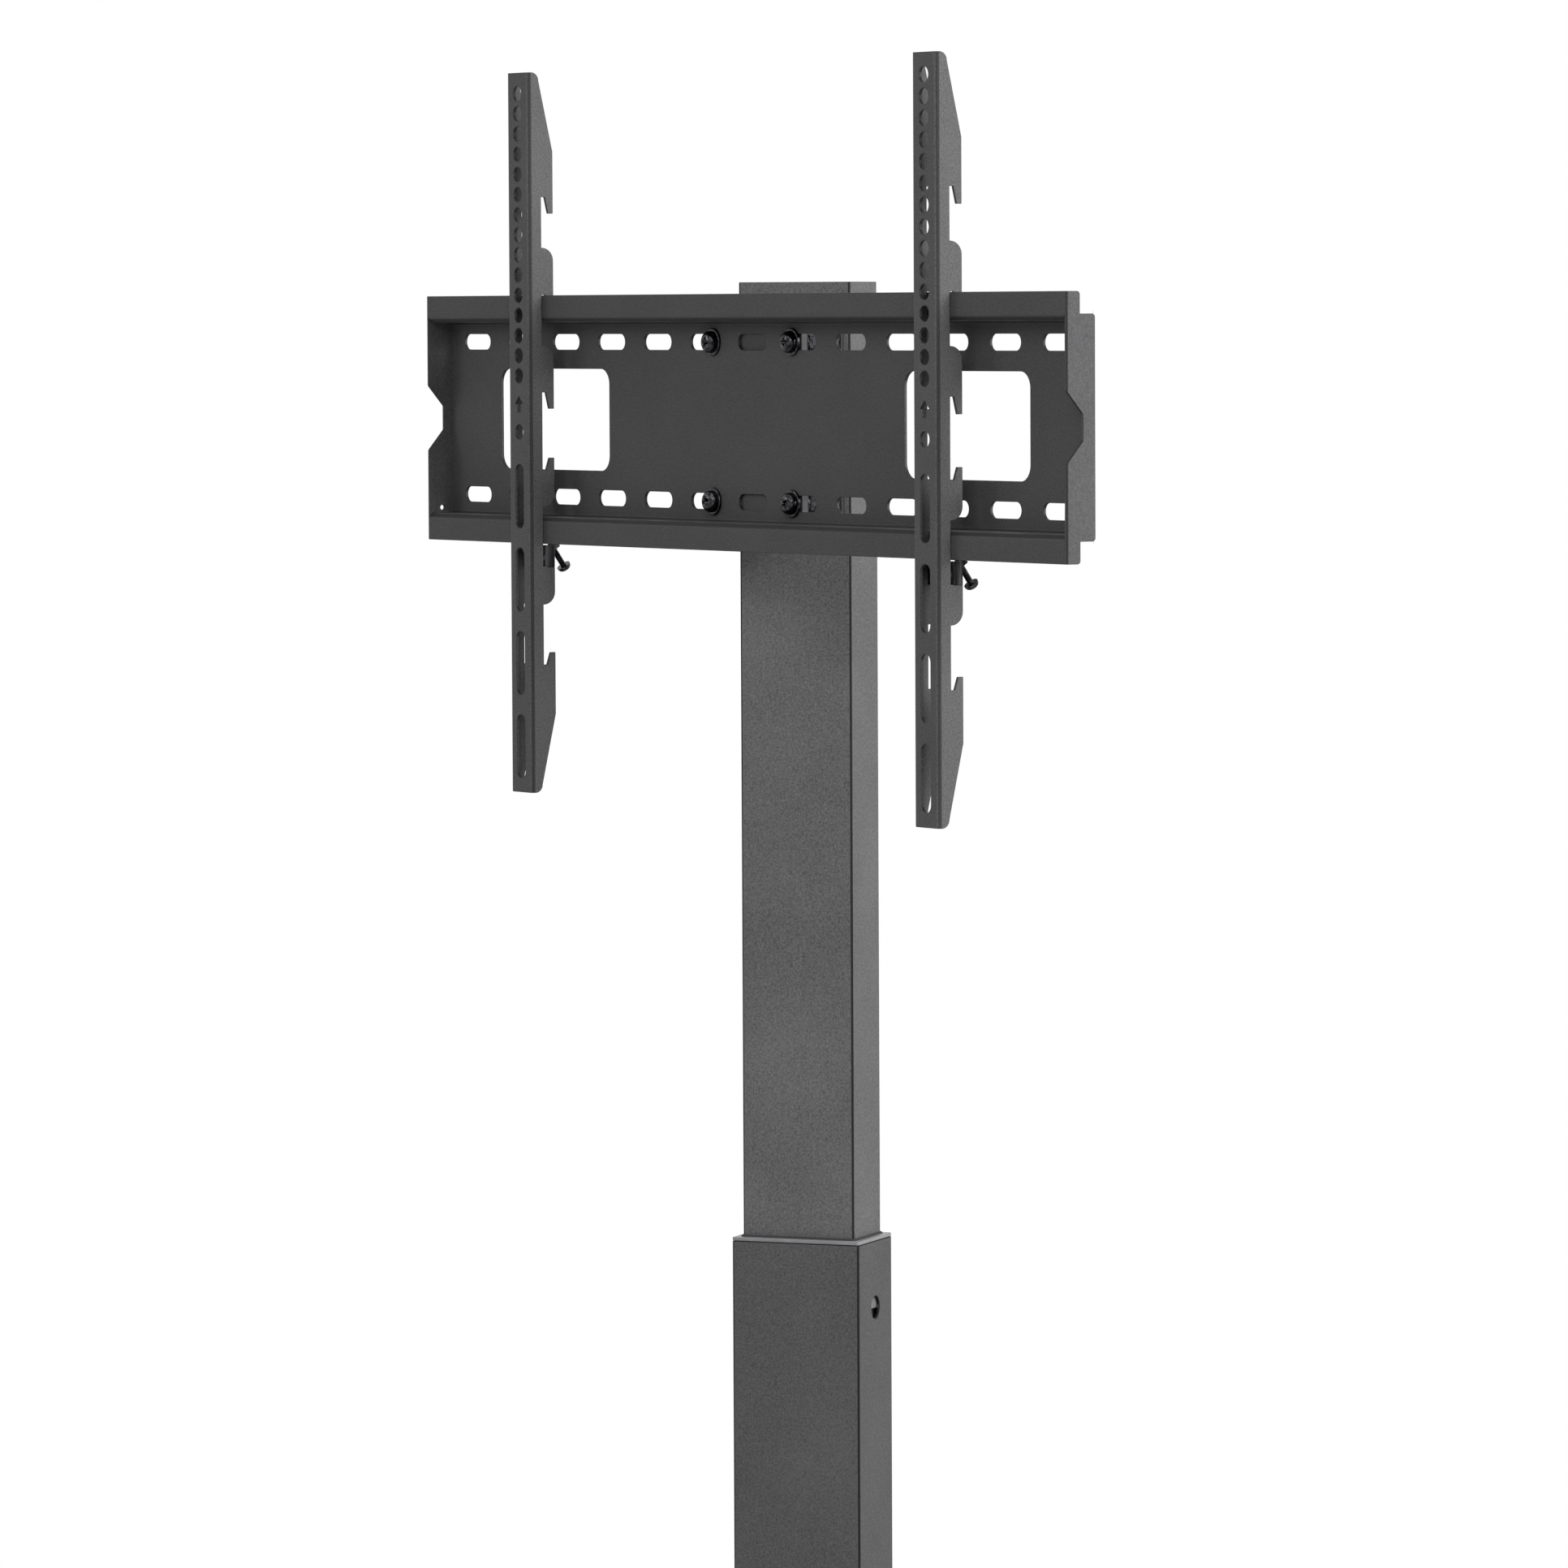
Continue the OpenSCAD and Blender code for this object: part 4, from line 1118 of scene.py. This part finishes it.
@dataclass(frozen=True)
class LiftDrive(Builder):
    """The motor with its gearbox, the plate and bearing that hold the lead screw, the screw and its nut."""

    plate_edge: float = 0.4
    motor_edge: float = 1.0
    edge: float = 0.5
    screw_r: float = 7.0
    thread_depth: float = 1.5
    pitch: float = 4.0
    starts: int = 5  # four millimetres apart, so that a turn lifts the column by 20 mm
    journal_r: float = 6.0
    tail_r: float = 4.5
    columns: int = 48
    per_pitch: int = 6

    def lead_screw(self) -> Piece:
        """Returns the rolled screw: five trapezoid threads, a journal in the bearing and a stepped tail."""
        low, high = box_mm("lead_screw")
        plate_low, plate_high = box_mm("motor_plate")
        shoulder = plate_high[2] + 0.5
        top = turned_surface(round_rows([(0, high[2]), (self.screw_r - 1.6, high[2])]), self.columns)
        thread = threaded_surface(
            self.screw_r,
            self.thread_depth,
            self.pitch,
            self.starts,
            high[2] - 0.8,
            shoulder + 0.5,
            self.columns,
            self.per_pitch,
        )
        rows = [(self.screw_r, shoulder + 0.4), (self.screw_r - 0.4, shoulder), (self.journal_r, shoulder)]
        rows += [(self.journal_r, plate_low[2] + 0.3), (self.journal_r - 0.3, plate_low[2])]
        rows += [(self.tail_r, plate_low[2])]
        rows += [(self.tail_r, low[2] + 0.5), (self.tail_r - 0.5, low[2]), (0, low[2])]
        surface = np.concatenate([top, thread, turned_surface(round_rows(rows), self.columns)])
        return mesh_piece("lead_screw_thread", [self.layout.column.put(surface)])

    def build(self) -> None:
        """Makes the drive's pieces and dresses them."""
        copied("motor_plate", "motor_plate_steel", self.plate_edge, "base", Coat.BARE_STEEL, Slot.BARE_STEEL)
        copied("gear_motor", "gear_motor_housing", self.motor_edge, "base", Coat.MOTOR, Slot.MOTOR, FINE)
        copied(
            "screw_bearing", "screw_bearing_rings", self.edge, "base", Coat.BARE_STEEL, Slot.BARE_STEEL, FINE
        )
        dressed(self.lead_screw(), "screw", Coat.BARE_STEEL, Slot.BARE_STEEL, "lead_screw")
        copied("drive_nut", "drive_nut_block", self.edge, "carriage", Coat.NYLON, Slot.NYLON)


@dataclass(frozen=True)
class Swivel(Builder):
    """The column bracket with its bolts, and the pin, washers, nut and barrel that the mount turns on."""

    edge: float = 0.5
    washer_edge: float = 0.2
    bolt: Screw = Screw(Drive.HEX_SOCKET, shank_r=3.0, length=6.0, head_r=5.0, head_h=3.2, pitch=1.0)
    bolt_x: float = 27.0
    bolt_z: tuple[float, float] = (-36.0, 50.0)
    bracket_t: float = 4.0
    tube_corner_r: float = 1.5
    pin: Screw = Screw(
        Drive.HEX_SOCKET,
        shank_r=6.0,
        length=116.6,
        head_r=9.6,
        head_h=5.0,
        pitch=1.75,
        columns=60,
        per_pitch=5,
    )
    pin_seat: float = 54.3
    nut: HexNut = HexNut(10.0, 8.0, 6.05)
    barrel_half: float = 48.0
    pad_half: float = 9.0
    weld_leg: float = 3.0
    ripple: float = 2.4
    weld_end: float = 2.0
    weld_spacing: float = 0.5

    def bolts(self) -> Piece:
        """Returns the four socket screws that hold the column bracket on the inner tube."""
        surface = self.bolt.surface()
        seat = -self.layout.half_sizes("inner_tube", self.tube_corner_r)[1] - self.bracket_t
        middle = self.layout.swivel.origin[2]
        shells = [
            self.layout.column.shifted(x * self.bolt_x, seat, middle + z).facing((0, -1, 0)).put(surface)
            for x in (-1, 1)
            for z in self.bolt_z
        ]
        return mesh_piece("bracket_socket_screws", shells)

    def welds(self) -> Piece:
        """Returns the two beads between the barrel's pad and the swivel bracket, one on each side."""
        back = box_mm("swivel_bracket")[1][1] - self.layout.swivel.origin[1]
        end = self.barrel_half - self.weld_end
        height = np.arange(-end, end, self.weld_spacing)
        shells = []
        for side in (-1.0, 1.0):
            line = np.stack(np.broadcast_arrays(side * self.pad_half, back, height), axis=1)
            outward = np.broadcast_to([side, 0.0, 0.0], line.shape)
            rearward = np.broadcast_to([0.0, 1.0, 0.0], line.shape)
            bead = weld_surface(line, outward, rearward, self.weld_leg, self.ripple, False)
            shells.append(self.layout.swivel.put(bead if side > 0 else bead[:, ::-1]))
        return mesh_piece("barrel_welds", shells, crease=60)

    def build(self) -> None:
        """Makes the swivel's pieces and dresses them."""
        copied("column_bracket", "column_bracket_steel", self.edge, "carriage", Coat.HEAD, Slot.HEAD)
        dressed(self.bolts(), "carriage", Coat.BLACK_ZINC, Slot.BLACK_STEEL, "bracket_bolts")
        axis = self.layout.swivel_on_column
        pin = mesh_piece("swivel_pin", [axis.shifted(z=self.pin_seat).put(self.pin.surface())])
        dressed(pin, "carriage", Coat.BLACK_ZINC, Slot.BLACK_STEEL, "pivot_pin")
        low = box_mm("pivot_nut")[0][2] - self.layout.swivel.origin[2]
        nut = mesh_piece("swivel_pin_nut", [axis.shifted(z=low).put(self.nut.surface())], loops=True)
        dressed(nut, "carriage", Coat.BLACK_ZINC, Slot.BLACK_STEEL, "pivot_nut")
        copied("pivot_washers", "swivel_washers", self.washer_edge, "carriage", Coat.NYLON, Slot.NYLON)
        copied("swivel_bracket", "swivel_bracket_steel", self.edge, "head", Coat.HEAD, Slot.HEAD)
        copied("pivot_barrel", "swivel_barrel_steel", self.edge, "head", Coat.DIPPED, Slot.BLACK_STEEL)
        dressed(self.welds(), "head", Coat.WELD, Slot.HEAD)


@dataclass(frozen=True)
class WallPlate(Builder):
    """The slotted wall plate and the four bolts, washers and nuts that hold it on the swivel bracket."""

    edge: float = 0.3
    bolt: Screw = Screw(Drive.CROSS_RECESS, shank_r=3.9, length=17.6, head_r=6.8, head_h=5.0, pitch=1.25)
    washer: FlatWasher = FlatWasher(8.4, 4.1, 1.6)
    rear_washer: FlatWasher = FlatWasher(7.0, 4.1, 1.6)
    nut: HexNut = HexNut(7.4, 6.4, 4.0)
    bolt_x: float = 43.0
    bolt_z: float = 48.25
    head_turns: tuple[float, ...] = (20.0, -12.0, 38.0, 5.0)

    def fasteners(self) -> tuple[Piece, Piece, Piece]:
        """The bolts, washers and nuts, each bolt left at its own turn as a screwdriver leaves it.

        Returns:
            The bolts, the washers and the nuts.
        """
        front = box_mm("plate_washers")[0][1] - self.layout.swivel.origin[1]
        back = box_mm("swivel_bracket")[1][1] - self.layout.swivel.origin[1]
        bolts, washers, nuts = [], [], []
        corners = [(x, z) for x in (-self.bolt_x, self.bolt_x) for z in (-self.bolt_z, self.bolt_z)]
        for (x, z), turn in zip(corners, self.head_turns):
            seat = self.layout.swivel.shifted(x, front, z).facing((0, -1, 0))
            spun = Place(seat.origin, seat.axes @ turned_about_z(math.radians(turn)))
            bolts.append(spun.put(self.bolt.surface()))
            washers.append(seat.shifted(z=-self.washer.height).put(self.washer.surface()))
            behind = self.layout.swivel.shifted(x, back, z).facing((0, 1, 0))
            washers.append(behind.put(self.rear_washer.surface()))
            nuts.append(behind.shifted(z=self.rear_washer.height).put(self.nut.surface()))
        return (
            mesh_piece("plate_pan_bolts", bolts),
            mesh_piece("plate_flat_washers", washers, loops=True),
            mesh_piece("plate_hex_nuts", nuts, loops=True),
        )

    def build(self) -> None:
        """Makes the wall plate's pieces and dresses them."""
        copied("wall_plate", "wall_plate_sheet", self.edge, "head", Coat.HEAD, Slot.HEAD)
        bolts, washers, nuts = self.fasteners()
        dressed(bolts, "head", Coat.BLACK_ZINC, Slot.BLACK_STEEL, "plate_bolts")
        dressed(washers, "head", Coat.BLACK_ZINC, Slot.BLACK_STEEL, "plate_washers")
        dressed(nuts, "head", Coat.BLACK_ZINC, Slot.BLACK_STEEL, "plate_nuts")


class Side(Enum):
    """Which of the two screen arms."""

    LEFT = "left"
    RIGHT = "right"


@dataclass(frozen=True)
class ScreenArm:
    """A hook-on screen arm with its latch and its lock screw."""

    side: Side
    edge: float = 0.3
    screw: Screw = Screw(
        Drive.CROSS_RECESS, shank_r=1.9, length=17.0, head_r=4.4, head_h=3.4, pitch=0.7, columns=48
    )
    ramp_tilt: float = 35.0

    def lock_screw(self) -> Piece:
        """Returns the lock screw, its head down and back, its place taken from its own node's box.

        The tip's corner of the box gives the screw's axis, and its length along the tilt gives the seat.
        """
        low, high = box_mm(f"{self.side.value}_lock_screw")
        tilt = math.radians(self.ramp_tilt)
        head_way = np.array([0.0, math.sin(tilt), -math.cos(tilt)])
        across = np.array([0.0, math.cos(tilt), math.sin(tilt)])
        tip_low = low[1] + self.screw.shank_r * across[1]
        seat_y = tip_low + self.screw.length * head_way[1]
        seat_z = high[2] - self.screw.shank_r * across[2] + self.screw.length * head_way[2]
        seat = Place(np.array([(low[0] + high[0]) / 2, seat_y, seat_z]), np.eye(3)).facing(head_way)
        return mesh_piece(f"{self.side.value}_lock_screw_turned", [seat.put(self.screw.surface())])

    def build(self) -> None:
        """Makes the arm's pieces and dresses them."""
        name = self.side.value
        arm = f"{name}_arm"
        copied(arm, f"{name}_arm_channel", self.edge, arm, Coat.ARM, Slot.HEAD)
        copied(f"{name}_latch", f"{name}_latch_spring", self.edge, arm, Coat.DIPPED, Slot.BLACK_STEEL)
        dressed(self.lock_screw(), f"{name}_lock", Coat.BLACK_ZINC, Slot.BLACK_STEEL, f"{name}_lock_screw")


# Studio


def view_axes(azimuth: float, elevation: float) -> np.ndarray:
    """The axes of a camera or a lamp that looks at the stand.

    Args:
        azimuth: degrees round the stand, from the wall plate's front towards its right end.
        elevation: degrees above the level.

    Returns:
        Its right, its up and its back as columns.
    """
    around, above = math.radians(azimuth), math.radians(elevation)
    right = np.array([math.cos(around), math.sin(around), 0.0])
    level = np.array([math.sin(around), -math.cos(around), 0.0])
    back = level * math.cos(above) + np.array([0.0, 0.0, math.sin(above)])
    return np.stack([right, np.cross(back, right), back], axis=1)


def stand_at(thing: Piece, axes: np.ndarray, origin: np.ndarray) -> None:
    """Puts a camera or a lamp on its axes, at a place in metres."""
    matrix = np.eye(4)
    matrix[:3, :3], matrix[:3, 3] = axes, origin
    thing.matrix_world = Matrix(matrix.tolist())


@dataclass(frozen=True)
class Softbox:
    """A square area lamp that looks at the middle of the stand, placed by its angle round and above it."""

    name: str
    azimuth: float
    elevation: float
    distance: float
    size: float
    watts: float

    def build(self, target: np.ndarray) -> None:
        """Makes the lamp.

        Args:
            target: the point that it looks at, in metres.
        """
        axes = view_axes(self.azimuth, self.elevation)
        lamp = bpy.data.lights.new(self.name, "AREA")
        lamp.shape = "SQUARE"
        lamp.size = self.size
        lamp.energy = self.watts
        stand_at(linked(self.name, lamp), axes, target + axes[:, 2] * self.distance)


@dataclass(frozen=True)
class Studio(Builder):
    """The camera at the photograph's angle, soft lamps, a white surround and a pale floor."""

    lens: float = 185.4
    sensor: float = 36.0
    azimuth: float = 56.35
    elevation: float = 3.337
    roll: float = 0.273
    distance: float = 4870.9
    aside: float = 1.64
    below: float = -218.4
    clip: tuple[float, float] = (0.1, 60.0)
    ambient: float = 0.18
    floor_r: float = 3.2
    floor_gap: float = 0.0002
    floor_fade: float = 2.0
    floor_rows: int = 24
    floor_columns: int = 96
    floor_white: float = 0.45
    floor_colour: str = "#e6e6e6"
    aim_share: float = 0.8
    # Each lamp's name, azimuth, elevation, distance in metres, size in metres, and watts.
    lamps: tuple[Softbox, ...] = (
        Softbox("key_softbox", 100.0, 30.0, 2.8, 1.6, 78.0),
        Softbox("rear_softbox", 130.0, 20.0, 2.8, 1.4, 14.0),
        Softbox("camera_softbox", 50.0, 30.0, 3.0, 1.2, 15.0),
        Softbox("front_softbox", 15.0, 40.0, 3.0, 1.2, 6.0),
        Softbox("left_softbox", -35.0, 20.0, 3.0, 0.9, 10.0),
        Softbox("top_softbox", 60.0, 76.0, 3.0, 1.6, 15.0),
    )

    def camera(self) -> None:
        """Makes the camera from the fit of the photograph's edges, looking at a point near the swivel."""
        axes = view_axes(self.azimuth, self.elevation)
        position = self.layout.swivel.origin + axes @ np.array([self.aside, self.below, self.distance])
        data = bpy.data.cameras.new("photograph_camera")
        data.lens, data.sensor_width = self.lens, self.sensor
        data.clip_start, data.clip_end = self.clip
        camera = linked("photograph_camera", data)
        stand_at(camera, axes @ turned_about_z(-math.radians(self.roll)), position * MM)
        bpy.context.scene.camera = camera

    def surround(self) -> None:
        """The world: white to the camera and in reflections, and an even soft light on the stand."""
        world = bpy.data.worlds.new("white_surround")
        bpy.context.scene.world = world
        world.use_nodes = True
        tree = world.node_tree
        tree.nodes.clear()
        path = add_node(tree, "ShaderNodeLightPath").outputs
        seen = larger(tree, path["Is Camera Ray"], path["Is Glossy Ray"])
        seen = larger(tree, seen, path["Is Transmission Ray"])
        strength = ranged(tree, seen, (0.0, 1.0), (self.ambient, 1.0))
        sky = add_node(tree, "ShaderNodeBackground", {"Color": WHITE, "Strength": strength})
        add_node(tree, "ShaderNodeOutputWorld", {"Surface": sky.outputs[0]})

    def floor(self) -> None:
        """A round pale floor that keeps the stand's shadow and fades into the white surround towards its rim.

        Its points are rings: the radius times the cosine and the sine of the angle, a hair below the pads.
        """
        radius = np.linspace(0, self.floor_r, self.floor_rows)[:, None]
        flat = polar(radius, round_angles(self.floor_columns), -self.floor_gap)
        ground = mesh_piece("studio_floor", [flat])
        ground.data.flip_normals()
        material = bpy.data.materials.new("white_studio_floor")
        material.use_nodes = True
        tree = material.node_tree
        tree.nodes.clear()
        path = add_node(tree, "ShaderNodeLightPath").outputs
        seen = larger(tree, path["Is Camera Ray"], path["Is Glossy Ray"])
        position = add_node(tree, "ShaderNodeTexCoord").outputs["Object"]
        length = add_node(tree, "ShaderNodeVectorMath", {0: position}, operation="LENGTH").outputs["Value"]
        fade = (self.floor_fade, self.floor_r - 0.1)
        rim = ranged(tree, length, fade, (self.floor_white, 1.0), "SMOOTHSTEP")
        share = add_node(tree, "ShaderNodeMath", {0: seen, 1: rim}, operation="MULTIPLY")
        matt = add_node(tree, "ShaderNodeBsdfDiffuse", {"Color": linear(self.floor_colour)})
        white = add_node(tree, "ShaderNodeEmission", {"Color": WHITE, "Strength": 1.0})
        inputs = {0: share.outputs[0], 1: matt.outputs[0], 2: white.outputs[0]}
        blend = add_node(tree, "ShaderNodeMixShader", inputs)
        add_node(tree, "ShaderNodeOutputMaterial", {"Surface": blend.outputs[0]})
        ground.data.materials.append(material)

    def build(self) -> None:
        """Makes the camera, the lamps, the surround and the floor. The lamps look at the column."""
        self.camera()
        target = np.array([0.0, 0.0, self.layout.swivel.origin[2] * self.aim_share * MM])
        for lamp in self.lamps:
            lamp.build(target)
        self.surround()
        self.floor()
        bpy.context.scene.view_settings.view_transform = "Standard"


def main() -> None:
    logging.basicConfig(level=logging.INFO, format="%(name)s: %(message)s")
    layout = Layout.measured()
    for part in (Studio, Base, Column, LiftDrive, Swivel, WallPlate):
        part(layout).build()
    for side in Side:
        ScreenArm(side).build()


if __name__ == "__main__":
    main()
